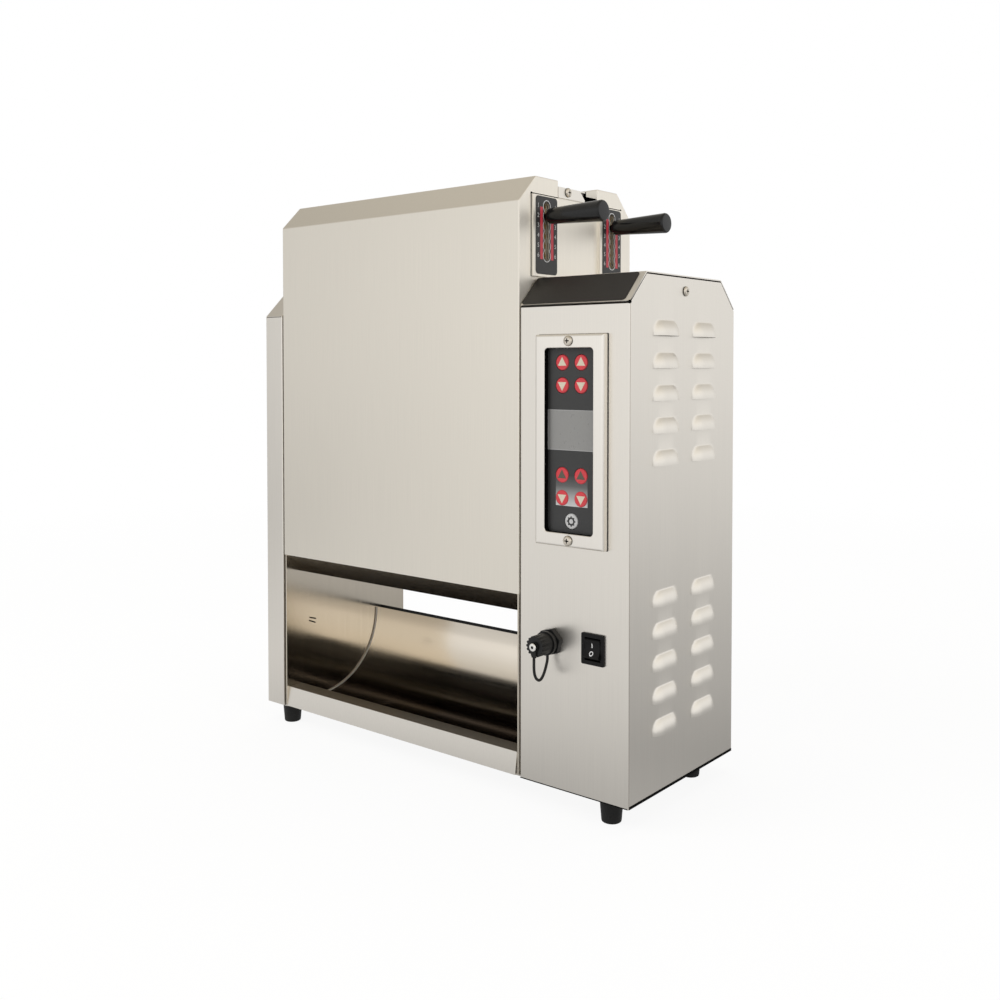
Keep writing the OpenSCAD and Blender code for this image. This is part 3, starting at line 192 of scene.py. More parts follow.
def mix(tree, share, under, over):
    """A shader between two others."""
    node = add(tree, "MixShader", Fac=share)
    tree.links.new(under.outputs[0], node.inputs[1])
    tree.links.new(over.outputs[0], node.inputs[2])
    return node


def grey(level):
    """A grey as a colour."""
    return (level, level, level)


def left_fade(tree, place):
    """The room's tone by direction: it falls off towards the left."""
    way = add(tree, "VectorMath", {"operation": "NORMALIZE"}, Vector=place).outputs["Vector"]
    turn = between(tree, add(tree, "SeparateXYZ", Vector=way).outputs["X"], 0, 1, -0.85, -0.55)
    return stops(tree, turn, (0.16, grey(0.55)), (0.24, grey(0.62)), (0.30, grey(0.71)),
                 (0.47, grey(0.85)), (0.90, grey(1.0)))


behind = (0.63, 0.77, 0)
floor_reach = 4.0
floor_paint, tree, skin = surface("pale_table", Roughness=0.8)
tree.links.new(tones(tree, noise(tree, 3), (0.80, 0.79, 0.77), (0.83, 0.82, 0.80)),
               skin.inputs["Base Color"])
rays = add(tree, "LightPath").outputs
place = add(tree, "TexCoord").outputs["Object"]
away = add(tree, "VectorMath", {"operation": "LENGTH"}, Vector=place).outputs["Value"]
away = between(tree, away, 0, 1, 0, floor_reach)
# Painted shadow for reflections: the floor's mirrored tone is darkest close to the toaster and darker behind
# it to the right.
level = stops(tree, away, (0.03, grey(0.47)), (0.06, grey(0.575)), (0.14, grey(0.725)),
              (0.38, grey(0.82)), (0.85, grey(0.90)))
rearward = between(tree, towards(tree, place, behind), 0, 1, -0.2, 3.8)
painted_rear_shadow = stops(tree, rearward, (0.0, grey(1.0)), (0.125, grey(0.60)), (0.42, grey(0.75)),
                  (0.80, grey(0.84)))
level = calc(tree, "MULTIPLY", level, painted_rear_shadow)
fade = calc(tree, "POWER", left_fade(tree, place), between(tree, away, 0, 1, 0.15, 0.5))
level = calc(tree, "MULTIPLY", level, fade)
mirrored = add(tree, "Emission", Strength=level)
shown = add(tree, "Emission", Strength=1.0)
lit = mix(tree, rays["Is Glossy Ray"], skin, mirrored)
bright = calc(tree, "MULTIPLY", rays["Is Camera Ray"], between(tree, away, 0.91, 1.0, 0.1, 0.6))
lit = mix(tree, bright, lit, shown)
tree.links.new(lit.outputs[0], tree.nodes["Material Output"].inputs["Surface"])
floor_data.materials.append(floor_paint)

room = bpy.data.worlds.new("white_room")
scene.world = room
room.use_nodes = True
tree = room.node_tree
rays = add(tree, "LightPath").outputs
way = add(tree, "TexCoord").outputs["Generated"]
high = add(tree, "SeparateXYZ", Vector=way).outputs["Z"]
level = stops(tree, high, (0.12, grey(1.0)), (0.5, grey(0.74)), (0.77, grey(0.62)), (1.0, grey(0.55)))
level = calc(tree, "MULTIPLY", level, left_fade(tree, way))
level = calc(tree, "MULTIPLY", level, between(tree, towards(tree, way, behind), 1.0, 0.88, 0.0, 0.6))
lift = calc(tree, "MULTIPLY", between(tree, towards(tree, way, (1, 0, 0)), 0, 1, 0.25, 0.85),
            between(tree, high, 0.0, 0.45, 0.08, 0.28))
level = calc(tree, "MULTIPLY", level, calc(tree, "ADD", lift, 1.0))
level = calc(tree, "MINIMUM", level, 1.0)
warmth = stops(tree, high, (0.2, (1.0, 1.0, 1.0)), (0.7, (1.0, 0.95, 0.86)))
mirrored = add(tree, "Background", Color=warmth, Strength=level)
shown = add(tree, "Background", Strength=1.0)
shown.inputs["Color"].default_value = (1, 1, 1, 1)
ambient = tree.nodes["Background"]
ambient.inputs["Color"].default_value = (1.0, 0.99, 0.97, 1)
ambient.inputs["Strength"].default_value = 0.55
lit = mix(tree, rays["Is Glossy Ray"], ambient, mirrored)
lit = mix(tree, calc(tree, "MAXIMUM", rays["Is Camera Ray"], rays["Is Transmission Ray"]), lit, shown)
tree.links.new(lit.outputs[0], tree.nodes["World Output"].inputs["Surface"])

for name, place, size, power in (
    ("key_lamp", (-1.5, -2.2, 2.3), 1.8, 55),
    ("side_lamp", (2.6, -0.3, 1.6), 1.4, 18),
    ("top_lamp", (0.0, 0.4, 2.6), 1.6, 25),
):
    lamp_data = bpy.data.lights.new(name, "AREA")
    lamp_data.size = size
    lamp_data.energy = power
    lamp = bpy.data.objects.new(name, lamp_data)
    lamp.location = place
    lamp.visible_glossy = False
    aim = Vector((0, 0, 0.3)) - lamp.location
    lamp.rotation_euler = aim.to_track_quat("-Z", "Y").to_euler()
    scene.collection.objects.link(lamp)

# Base pan, rails and end frames: the folded stainless chassis that everything is fastened to.
# They are plain sheet, almost a mirror inside the discharge bay; the rail's top is painted dark brown, a
# painted reflection of the dark bay above it.
def brushed(name, colour, grain, gloss, turned=0.55, bump=0.012):
    """Stainless sheet with fine brush marks; grain is their scale along each axis."""
    material, tree, skin = surface(name, Metallic=1.0, Anisotropic=turned)
    marks = noise(tree, grain, 3)
    clouds = noise(tree, 7, 2)
    shade = calc(tree, "MULTIPLY_ADD", clouds, 0.4, between(tree, marks, 0.0, 0.6))
    dark, light = ([c * share for c in colour] for share in (0.985, 1.015))
    tree.links.new(tones(tree, shade, dark, light), skin.inputs["Base Color"])
    tree.links.new(between(tree, marks, gloss - 0.02, gloss + 0.02), skin.inputs["Roughness"])
    relief = add(tree, "Bump", Height=marks, Strength=bump, Distance=0.0001)
    tree.links.new(relief.outputs["Normal"], skin.inputs["Normal"])
    level_way = add(tree, "VectorMath", {"operation": "CROSS_PRODUCT"})
    tree.links.new(add(tree, "NewGeometry").outputs["Normal"], level_way.inputs[0])
    level_way.inputs[1].default_value = (0, 0.05, 1)
    tree.links.new(level_way.outputs["Vector"], skin.inputs["Tangent"])
    return material


def copy_of(node):
    """The mesh of a CAD node, merged and without the lines between its flat triangles."""
    bm = bmesh.new()
    bm.from_mesh(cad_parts[node].data)
    bmesh.ops.transform(bm, matrix=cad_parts[node].matrix_world, verts=bm.verts)
    bmesh.ops.remove_doubles(bm, verts=bm.verts, dist=1e-6)
    bmesh.ops.dissolve_limit(bm, angle_limit=math.radians(1), verts=bm.verts, edges=bm.edges)
    return bm


def soften(bm, width, segments=2, sharp=30.0, edges=None):
    """Rounds the edges that are sharper than an angle in degrees."""
    geom = [e for e in (edges or bm.edges)
            if len(e.link_faces) == 2 and e.calc_face_angle(0) > math.radians(sharp)]
    bmesh.ops.bevel(bm, geom=geom, offset=width, offset_type="OFFSET", affect="EDGES",
                    segments=segments, profile=0.5, clamp_overlap=True, material=-1)
    return bm


def second(bm, test):
    """Gives the second material to the faces whose middle and normal pass a test."""
    bmesh.ops.recalc_face_normals(bm, faces=bm.faces)
    bm.normal_update()
    for face in bm.faces:
        if test(face.calc_center_median(), face.normal):
            face.material_index = 1
    return bm


def piece(bm, name, body, slot, material, *stands_for, thick=None, other=None, inner=None, rim=None,
          facing=None):
    """Makes the mesh a piece that rides on a body; a thickness turns a folded skin into sheet, and
    facing is the way that a flat print looks."""
    bmesh.ops.recalc_face_normals(bm, faces=bm.faces)
    if facing:
        bm.normal_update()
        bmesh.ops.reverse_faces(bm, faces=[f for f in bm.faces if f.normal.dot(facing) < 0])
    open_edges = [i for i, e in enumerate(bm.edges) if e.is_boundary]
    mesh = bpy.data.meshes.new(name)
    bm.to_mesh(mesh)
    bm.free()
    mesh.materials.append(material)
    for extra in (other, inner, rim):
        if extra:
            mesh.materials.append(extra)
    for face in mesh.polygons:
        face.use_smooth = True
    mesh.set_sharp_from_angle(angle=math.radians(40))
    for i in open_edges:
        mesh.edges[i].use_edge_sharp = True
    obj = bpy.data.objects.new(name, mesh)
    scene.collection.objects.link(obj)
    if thick:
        sheet = obj.modifiers.new("sheet", "SOLIDIFY")
        sheet.thickness = thick
        sheet.offset = -1
        sheet.use_even_offset = True
        sheet.material_offset = len(mesh.materials) - 1 if inner else 0
        sheet.material_offset_rim = len(mesh.materials) - 1 if rim else 0
    flat = obj.modifiers.new("flat_faces", "WEIGHTED_NORMAL")
    flat.keep_sharp = True
    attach(obj, body)
    if stands_for:
        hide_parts(*stands_for)
    return obj


def paint(material, *nodes):
    """Gives CAD nodes that are shown as they are their material."""
    for node in nodes:
        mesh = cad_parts[node].data
        mesh.materials.clear()
        mesh.materials.append(material)


def prism(outline, along):
    """A closed form swept from an outline of points by a vector."""
    bm = bmesh.new()
    face = bm.faces.new([bm.verts.new(p) for p in outline])
    swept = bmesh.ops.extrude_face_region(bm, geom=[face])["geom"]
    bmesh.ops.translate(bm, verts=[v for v in swept if isinstance(v, bmesh.types.BMVert)], vec=along)
    bmesh.ops.recalc_face_normals(bm, faces=bm.faces)
    return bm


def join(*parts):
    """Several meshes as one."""
    whole = bmesh.new()
    for part in parts:
        mesh = bpy.data.meshes.new("part")
        part.to_mesh(mesh)
        part.free()
        whole.from_mesh(mesh)
        bpy.data.meshes.remove(mesh)
    return whole


sheet_t, sheet_edge = 0.0012, 0.0003
steel = brushed("brushed_steel", (0.87, 0.828, 0.758), (1500, 1500, 12), 0.33)
cover_steel = brushed("cover_steel", (0.868, 0.818, 0.725), (1500, 1500, 12), 0.33)
end_steel = brushed("end_steel", (0.97, 0.925, 0.84), (1500, 1500, 12), 0.52)
# Near-black for the inner side of the head covers: painted shade.
painted_shade_lining = moulded("painted_shade_lining", (0.008, 0.005, 0.003), (0.014, 0.009, 0.005), 0.8, 0.05, 0.05)
mill_steel = brushed("mill_steel", (0.70, 0.66, 0.59), 300, 0.30, 0.0)
bay_steel = brushed("bay_steel", (0.76, 0.69, 0.58), (400, 400, 12), 0.19, 0.2, 0.01)
# Black for painted shade: it fills slots, slits, holes, recesses, seams and cut edges where only shade
# falls.
painted_shade_black = moulded("painted_shade_black", (0.002, 0.002, 0.002), (0.004, 0.004, 0.004), 0.7, 0.05, 0.05)
paint(mill_steel, "base_pan", "rear_rail")
wall_face, right_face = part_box("chute")[0].x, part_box("chute")[1].x
frame_t, skin_band = 0.0015, 0.0001
for side, outer in (("left", lambda c, n: c.x < wall_face - frame_t + skin_band),
                    ("right", lambda c, n: c.x > right_face + frame_t - skin_band)):
    piece(second(soften(copy_of(side + "_end_frame"), sheet_edge), outer), side + "_frame_plate", "casing",
          "inner_steel", bay_steel, side + "_end_frame", other=end_steel)
# Lanced slots in the left end frame: thin black strips on the wall are painted shade for the slots' dark
# openings.
slot_t, slot_x, slot_run = 0.0017, wall_face - 0.0003, 0.0004
slot_lines = (((-0.0597, 0.1229), (-0.0492, 0.1197)), ((-0.0605, 0.1193), (-0.0500, 0.1148)))
for number, ((y0, z0), (y1, z1)) in enumerate(slot_lines):
    corners = ((y0, z0), (y1, z1), (y1, z1 + slot_t), (y0, z0 + slot_t))
    piece(prism([(slot_x, y, z) for y, z in corners], (slot_run, 0, 0)),
          "lanced_slot_shade_%d" % number, "casing", "black_plastic", painted_shade_black)

# The rail's top is painted dark brown: a painted reflection of the dark bay above it.
rail_top_painted_reflection = brushed("rail_top_painted_reflection", (0.20, 0.165, 0.12), (12, 900, 900), 0.36, 0.2)
bm = second(soften(copy_of("front_rail"), sheet_edge), lambda c, n: n.z > 0.9)
piece(bm, "front_rail_strip", "casing", "stainless", steel, "front_rail", other=rail_top_painted_reflection)

# Feet: four tapered rubber feet, each moulded round a screw that goes up into the base pan.
# The hollow in the sole hides the screw's head, and a steel washer lies on top.
def lathe(points, centre, axis, across, steps=48):
    """A turned form; each point is a radius and a distance along the axis from the centre."""
    bm = bmesh.new()
    axis, across = Vector(axis), Vector(across)
    verts = [bm.verts.new(Vector(centre) + across * r + axis * h) for r, h in points]
    edges = [bm.edges.new(pair) for pair in zip(verts, verts[1:])]
    bmesh.ops.spin(bm, geom=verts + edges, cent=centre, axis=axis, angle=math.tau, steps=steps,
                   use_merge=True)
    bmesh.ops.remove_doubles(bm, verts=bm.verts, dist=1e-6)
    bmesh.ops.recalc_face_normals(bm, faces=bm.faces)
    return bm


foot_low, foot_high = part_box("feet")
foot_r, washer_t, washer_r = 0.0115, 0.0015, 0.0120
washer_z = foot_high.z - foot_low.z - washer_t
foot_profile = [
    (0, 0.008), (0.0042, 0.008), (0.0045, 0.0005), (0.0050, 0), (0.0087, 0), (0.0095, 0.0006),
    (0.0098, 0.0016), (foot_r - 0.0002, washer_z - 0.001), (foot_r - 0.0008, washer_z), (0, washer_z),
]
washer_top = washer_z + washer_t
washer_profile = [(0, washer_z), (washer_r, washer_z), (washer_r, washer_top), (0, washer_top)]
foot_places = [(x, y, foot_low.z) for x in (foot_low.x + foot_r, foot_high.x - foot_r)
               for y in (foot_low.y + foot_r, foot_high.y - foot_r)]
piece(join(*[lathe(foot_profile, place, (0, 0, 1), (1, 0, 0)) for place in foot_places]),
      "rubber_feet", "casing", "rubber", rubber, "feet")
piece(join(*[lathe(washer_profile, place, (0, 0, 1), (1, 0, 0)) for place in foot_places]),
      "foot_washers", "casing", "stainless", mill_steel)

# Chute: one polished stainless sheet rolled to a quarter circle, with a flange along its rear edge.
# The flange's top is painted black as painted shade, a pale bead runs down the arc at the left end frame
# as a painted highlight, and the sheet's bottom is painted dark brown as painted shade for the dark inside
# that it mirrors there.
chute_low, chute_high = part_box("chute")
chute_r, chute_flange, bead_r, painted_shade_band = 0.092, 0.012, 0.0011, 0.0003
chute_top = chute_high.z - sheet_t
chute_mid = chute_high.y - chute_flange - chute_r
polished = (0.80, 0.73, 0.63)
chute_steel = brushed("chute_steel", polished, (14, 400, 400), 0.16, 0.2, 0.01)
# The sheet's colour turns dark brown towards the bottom: painted shade for the dark inside that it mirrors
# there.
tree = chute_steel.node_tree
height = add(tree, "SeparateXYZ", Vector=add(tree, "TexCoord").outputs["Object"]).outputs["Z"]
height = between(tree, height, 0, 1, chute_low.z, chute_low.z + chute_r)
tree.links.new(stops(tree, height, (0.02, (0.065, 0.042, 0.025)), (0.10, (0.09, 0.065, 0.045)),
                     (0.24, polished)), tree.nodes["Principled BSDF"].inputs["Base Color"])
# The top faces of the rear flange are painted black as painted shade.
bm = second(copy_of("chute"), lambda c, n: n.z > 0.9 and c.z > chute_high.z - painted_shade_band)
piece(bm, "chute_sheet", "casing", "chute_steel", chute_steel, "chute", other=painted_shade_black)
bm = bmesh.new()
bead_start = (chute_low.x + bead_r, chute_mid + chute_r, chute_top)
bmesh.ops.create_circle(bm, segments=12, radius=bead_r, matrix=Matrix.Translation(bead_start))
bmesh.ops.spin(bm, geom=bm.verts[:] + bm.edges[:], cent=(chute_low.x, chute_mid, chute_top),
               axis=(1, 0, 0), angle=-math.pi / 2, steps=40)
# The bead is a pale non-metal colour: a painted highlight along the arc.
chute_edge_painted_highlight = moulded("chute_edge_painted_highlight", (0.74, 0.69, 0.62), (0.80, 0.75, 0.68), 0.35, 0.05)
piece(bm, "chute_edge", "casing", "chute_steel", chute_edge_painted_highlight)

# Platen group: a cast aluminium slab with cartridge heaters, and a brown non-stick cloth on each face.
# The cloths hang from the cap strip that is screwed over the platen's top.
def mottled(name, grain, dark, light, patches, rough, **sockets):
    """A finish mottled from dark to light, with duller and glossier patches; grain and patches are each
    the scale and detail of a noise, and rough is the least and greatest roughness."""
    material, tree, skin = surface(name, **sockets)
    tree.links.new(tones(tree, noise(tree, *grain), dark, light), skin.inputs["Base Color"])
    tree.links.new(between(tree, noise(tree, *patches), *rough), skin.inputs["Roughness"])
    return material


cast = mottled("cast_aluminium", (200, 4), (0.10, 0.09, 0.08), (0.15, 0.14, 0.13), (90, 2), (0.4, 0.55),
               Metallic=1.0)
heater_metal = mottled("heater_metal", ((40, 600, 600), 3), (0.20, 0.16, 0.13), (0.36, 0.31, 0.27),
                       (70, 2), (0.35, 0.5), Metallic=1.0)
cloth = mottled("release_cloth", (700, 2), (0.05, 0.03, 0.014), (0.08, 0.05, 0.025), (30, 2), (0.35, 0.5))
paint(cast, "platen")
paint(heater_metal, "platen_heaters")
paint(cloth, "release_sheets")

# Belt drive: dark silicone belts on turned rollers, in two swinging carriages of zinc-plated
# plate. The drive shafts turn in bronze bushes, and nylon gears join them to the gearmotor's pinion.
belt_skin = moulded("silicone_belt", (0.020, 0.014, 0.010), (0.034, 0.025, 0.018), 0.6, 0.15, 0.3)
roller_steel = brushed("roller_steel", (0.22, 0.21, 0.20), (20, 700, 700), 0.36)
zinc_plate = brushed("zinc_plate", (0.12, 0.115, 0.11), 120, 0.42)
nylon = moulded("nylon_gear", (0.62, 0.57, 0.42), (0.70, 0.66, 0.52), 0.42)
motor_paint = moulded("motor_paint", (0.10, 0.105, 0.115), (0.15, 0.155, 0.165), 0.45)
bronze = mottled("bush_bronze", (300, 4), (0.40, 0.25, 0.11), (0.55, 0.37, 0.19), (80, 2), (0.3, 0.45),
                 Metallic=1.0)
paint(belt_skin, "front_belt", "rear_belt")
paint(roller_steel, "front_drive_roller", "rear_drive_roller", "front_idler_roller",
      "rear_idler_roller", "motor_pinion")
paint(zinc_plate, "front_carriage", "rear_carriage")
paint(nylon, "front_drive_gear", "rear_drive_gear", "idler_gear")
paint(motor_paint, "gearmotor")
paint(bronze, "shaft_bushes")

# Control board: a green printed board on four stand-offs behind the keypad.
# A transformer and a heatsink stand on its rear side.
board = mottled("circuit_board", (350, 1), (0.008, 0.07, 0.03), (0.02, 0.13, 0.06), (60, 2), (0.3, 0.45))
paint(board, "control_board")

# Left housing: a narrow box folded from brushed stainless, with 45 degree slopes at its top.
# The slopes belong to a lid whose lower edges leave a fine dark seam on the front and rear walls.
def drop_faces(bm, test):
    """Takes away the faces whose middle and normal pass a test."""
    bm.normal_update()
    gone = [f for f in bm.faces if test(f.calc_center_median(), f.normal)]
    bmesh.ops.delete(bm, geom=gone, context="FACES")


def slice_at(bm, point, normal, outer=False):
    """Cuts the mesh along a plane, and drops what lies on the normal's side if outer is set."""
    bmesh.ops.bisect_plane(bm, geom=bm.verts[:] + bm.edges[:] + bm.faces[:], dist=1e-7,
                           plane_co=point, plane_no=normal, clear_outer=outer)


left_low, left_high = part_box("left_housing")
box_slope = 0.029
fold_r = 0.0010
seam = 0.0007
slope_z = left_high.z - box_slope
front_y, rear_y = left_low.y, left_high.y
bm = prism([
    (left_low.x, front_y, left_low.z), (left_low.x, rear_y, left_low.z), (left_low.x, rear_y, slope_z),
    (left_low.x, rear_y - box_slope, left_high.z), (left_low.x, front_y + box_slope, left_high.z),
    (left_low.x, front_y, slope_z)], (left_high.x - left_low.x, 0, 0))
drop_faces(bm, lambda c, n: n.z < -0.9)
soften(bm, fold_r, 3)
for z in (slope_z - 2 * seam, slope_z - seam):
    slice_at(bm, (0, 0, z), (0, 0, 1))
drop_faces(bm, lambda c, n: slope_z - 2 * seam < c.z < slope_z - seam and abs(n.y) > 0.9)
piece(bm, "left_housing_box", "casing", "stainless", steel, "left_housing", thick=sheet_t)

# Control housing: one brushed sheet folded into a left wall, a front panel with a hole for the switch,
# and a right side wall. Twenty louvres are pressed out of the right wall, each open along its lower
# lip. The cut edges are painted black as painted shade, the front right bend has a dark brown line of
# painted shade, and a black strip of painted shade edges the panel and the wall along the bottom.
louvre_w, louvre_h, louvre_out, louvre_pitch, louvre_off = 0.0485, 0.0157, 0.006, 0.0312, 0.0373
louvre_z = [start + i * louvre_pitch for start in (0.080, 0.340) for i in range(5)]
louvre_r = (louvre_out ** 2 + louvre_h ** 2) / (2 * louvre_out)
louvre_run = louvre_w / 2 - louvre_h
lip_step, louvre_columns, louvre_rows = 0.00004, 28, 9
housing_low, housing_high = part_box("control_housing")
wall_x = housing_high.x - louvre_out
box_left = housing_low.x
mid_y = (front_y + rear_y) / 2
bend_r = 0.0012
cover_gap = 0.0026


def spread(low, high, count):
    """Evenly spaced places from low to high."""
    return [low + (high - low) * i / count for i in range(count + 1)]


def louvre_bulge(y, z):
    """How far the wall stands out at a place."""
    out = 0
    for side in (-1, 1):
        u = max(abs(y - mid_y - side * louvre_off) - louvre_run, 0)
        for base in louvre_z:
            w = z - base
            reach = louvre_r ** 2 - w * w - u * u
            if -lip_step / 4 < w < louvre_h and reach > 0:
                out = max(out, math.sqrt(reach) - louvre_r + louvre_out)
    return out


columns = [front_y + bend_r]
for side in (-1, 1):
    centre = mid_y + side * louvre_off
    columns += spread(centre - louvre_w / 2, centre + louvre_w / 2, louvre_columns)
columns.append(rear_y)
rows = [housing_low.z]
for base in louvre_z:
    rows += [base - lip_step] + spread(base, base + louvre_h, louvre_rows)
hole_in = Vector((0.0022, 0, 0.0022))
hole_low, hole_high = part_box("rocker_frame")[0] + hole_in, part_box("rocker_frame")[1] - hole_in
rows = sorted(rows + [hole_low.z, hole_high.z, housing_high.z])
bm = bmesh.new()
bmesh.ops.create_grid(bm, x_segments=len(columns) - 1, y_segments=len(rows) - 1, size=1)
for v in bm.verts:
    y = columns[round((v.co.x + 1) / 2 * (len(columns) - 1))]
    z = rows[round((v.co.y + 1) / 2 * (len(rows) - 1))]
    v.co = (wall_x + louvre_bulge(y, z), y, z)
drop_faces(bm, lambda c, n: c.x > wall_x + 0.0002 and abs(n.z) > 0.95)


def turn_fold(bm, chain, centre, angle):
    """Turns the open edge of a wall round a corner and gives back its new edge."""
    ends = bmesh.ops.spin(bm, geom=chain + list({v for e in chain for v in e.verts}), cent=centre,
                          axis=(0, 0, 1), angle=angle, steps=4)["geom_last"]
    return [e for e in ends if isinstance(e, bmesh.types.BMEdge)]


def draw_out(bm, chain, along):
    """Draws a wall out from an open edge and gives back its new edge."""
    made = bmesh.ops.extrude_edge_only(bm, edges=chain)["geom"]
    bmesh.ops.translate(bm, verts=[v for v in made if isinstance(v, bmesh.types.BMVert)], vec=along)
    return [e for e in made if isinstance(e, bmesh.types.BMEdge)]


edge = [e for e in bm.edges if all(abs(v.co.y - columns[0]) < 1e-6 for v in e.verts)]
edge = turn_fold(bm, edge, (wall_x - bend_r, front_y + bend_r, 0), -math.pi / 2)
edge = draw_out(bm, edge, (box_left + 2 * bend_r - wall_x, 0, 0))
edge = turn_fold(bm, edge, (box_left + bend_r, front_y + bend_r, 0), -math.pi / 2)
draw_out(bm, edge, (0, rear_y - front_y - bend_r, 0))
for y, n in ((front_y, -1), (rear_y, 1)):
    slice_at(bm, (0, y, slope_z - cover_gap), (0, n, 1), True)
slice_at(bm, (0, 0, housing_high.z - cover_gap), (0, 0, 1), True)
bmesh.ops.remove_doubles(bm, verts=bm.verts, dist=1e-6)
for x in (hole_low.x, hole_high.x):
    panel = [f for f in bm.faces if all(abs(v.co.y - front_y) < 1e-6 for v in f.verts)
             and hole_low.z < f.calc_center_median().z < hole_high.z]
    around = list({part for f in panel for part in (*f.verts, *f.edges)})
    bmesh.ops.bisect_plane(bm, geom=panel + around, dist=1e-7, plane_co=(x, 0, 0), plane_no=(1, 0, 0))
drop_faces(bm, lambda c, n: abs(c.y - front_y) < 1e-6 and hole_low.x < c.x < hole_high.x
           and hole_low.z < c.z < hole_high.z)
# The outer part of the front right bend is painted dark brown: a line of painted shade.
second(bm, lambda c, n: n.x > 0.9 and -0.5 < n.y < -0.1 and c.y < front_y + bend_r)
bend_painted_shade = brushed("bend_painted_shade", (0.42, 0.36, 0.29), (1500, 1500, 12), 0.4)
# The sheet's rims are painted black: painted shade on the cut edges.
piece(bm, "control_housing_wrap", "casing", "stainless", steel, "control_housing", thick=sheet_t,
      other=bend_painted_shade, rim=painted_shade_black)
# A thin black strip along the bottom of the side wall and the panel: painted shade at the lower edges.
edge_h, edge_t, front_edge_h = 0.0026, 0.0003, 0.0008
side_edge = prism([(wall_x + x, front_y + bend_r, housing_low.z + z)
                   for x, z in ((-edge_t, 0), (edge_t, 0), (edge_t, edge_h), (-edge_t, edge_h))],
                  (0, rear_y - front_y - bend_r, 0))
front_edge = prism([(box_left, front_y + y, housing_low.z + z) for y, z in
                    ((-edge_t, 0), (edge_t, 0), (edge_t, front_edge_h), (-edge_t, front_edge_h))],
                   (wall_x - box_left - bend_r, 0, 0))
piece(join(side_edge, front_edge), "wall_edge_shade_strip", "casing", "rubber", painted_shade_black)

# Control top cover and rear panel: the lid is one sheet with four folds that lies on the housing's
# edges, fixed by a screw in the side; the flat rear panel is held by four screws.
# A round relief hole ends the fold at the right front corner; a small black ball stands there as painted
# shade for the hole.
def eased(node, width, name, body, slot, material, segments=2):
    """Shows a CAD node as a piece with its edges rounded."""
    return piece(soften(copy_of(node), width, segments), name, body, slot, material, node)


lid = [(front_y, slope_z), (front_y + box_slope, left_high.z), (rear_y - box_slope, left_high.z),
       (rear_y, slope_z)]
bm = bmesh.new()
lid_verts = [bm.verts.new((box_left, y, z)) for y, z in lid]
lid_edges = [bm.edges.new(pair) for pair in zip(lid_verts, lid_verts[1:])]
draw_out(bm, lid_edges, (wall_x - box_left, 0, 0))
soften(bm, fold_r, 3)
piece(bm, "control_lid", "casing", "stainless", steel, "control_top_cover", thick=sheet_t)
eased("control_rear_panel", sheet_edge, "rear_panel_sheet", "casing", "stainless", steel)
relief_r, relief_in, relief_down = 0.0018, 0.0008, 0.0012
relief_place = (wall_x - relief_in, front_y + relief_in, slope_z - relief_down)
bm = bmesh.new()
bmesh.ops.create_uvsphere(bm, u_segments=16, v_segments=8, radius=relief_r,
                          matrix=Matrix.Translation(relief_place))
piece(bm, "lid_relief_shade", "casing", "black_plastic", painted_shade_black)

# Slope plate: a thin plastic plate with a plain dark print and rounded corners.
# It is glued to the lid's front slope.
plate_edge = 0.00015
plate_print = mottled("dark_print", (800, 2), (0.013, 0.011, 0.009), (0.016, 0.014, 0.012), (25, 3),
                      (0.40, 0.5), Specular_IOR_Level=0.35)
eased("name_plate", plate_edge, "slope_plate", "casing", "printed_plate", plate_print)

# Bezel: a stainless frame folded round the keypad, with its edges turned back to the panel. A thin black
# ring under its edge is painted shade where it meets the panel, the window's edge is painted black as a
# painted reflection of the dark film, and two screws hold the frame.
bezel_low, bezel_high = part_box("control_bezel")
window_w, window_h, window_r = 0.057, 0.178, 0.004
bezel_x, bezel_z = (bezel_low.x + bezel_high.x) / 2, (bezel_low.z + bezel_high.z) / 2
bezel_w, bezel_h = bezel_high.x - bezel_low.x, bezel_high.z - bezel_low.z


def loft(rings, capped=False):
    """A skin through rings of points that each have the same number of points."""
    bm = bmesh.new()
    ring = [bm.verts.new(point) for point in rings[0]]
    edges = [bm.edges.new((ring[i - 1], v)) for i, v in enumerate(ring)]
    for points in rings[1:]:
        made = bmesh.ops.extrude_edge_only(bm, edges=edges)["geom"]
        fresh = {v for v in made if isinstance(v, bmesh.types.BMVert)}
        ring = [next(e.other_vert(v) for e in v.link_edges if e.other_vert(v) in fresh) for v in ring]
        edges = [e for e in made if isinstance(e, bmesh.types.BMEdge)]
        for v, point in zip(ring, points):
            v.co = point
    if capped:
        bm.faces.new(ring)
    return bm


def round_ring(middle, w, h, r, turn=8):
    """Points round a rectangle with round corners, upright and facing the front."""
    points = []
    for sx, sz, start in ((1, 1, 0), (-1, 1, 90), (-1, -1, 180), (1, -1, 270)):
        for a in spread(start, start + 90, turn):
            a = math.radians(a)
            points.append(Vector(middle) + Vector((sx * (w / 2 - r) + r * math.cos(a), 0,
                                                   sz * (h / 2 - r) + r * math.sin(a))))
    return points


def flat_frame(middle, w, h, r, rim):
    """A flat upright frame: a rectangle with round corners and a rim all round it."""
    return loft([round_ring(middle, w + 2 * rim, h + 2 * rim, r), round_ring(middle, w, h, r)])


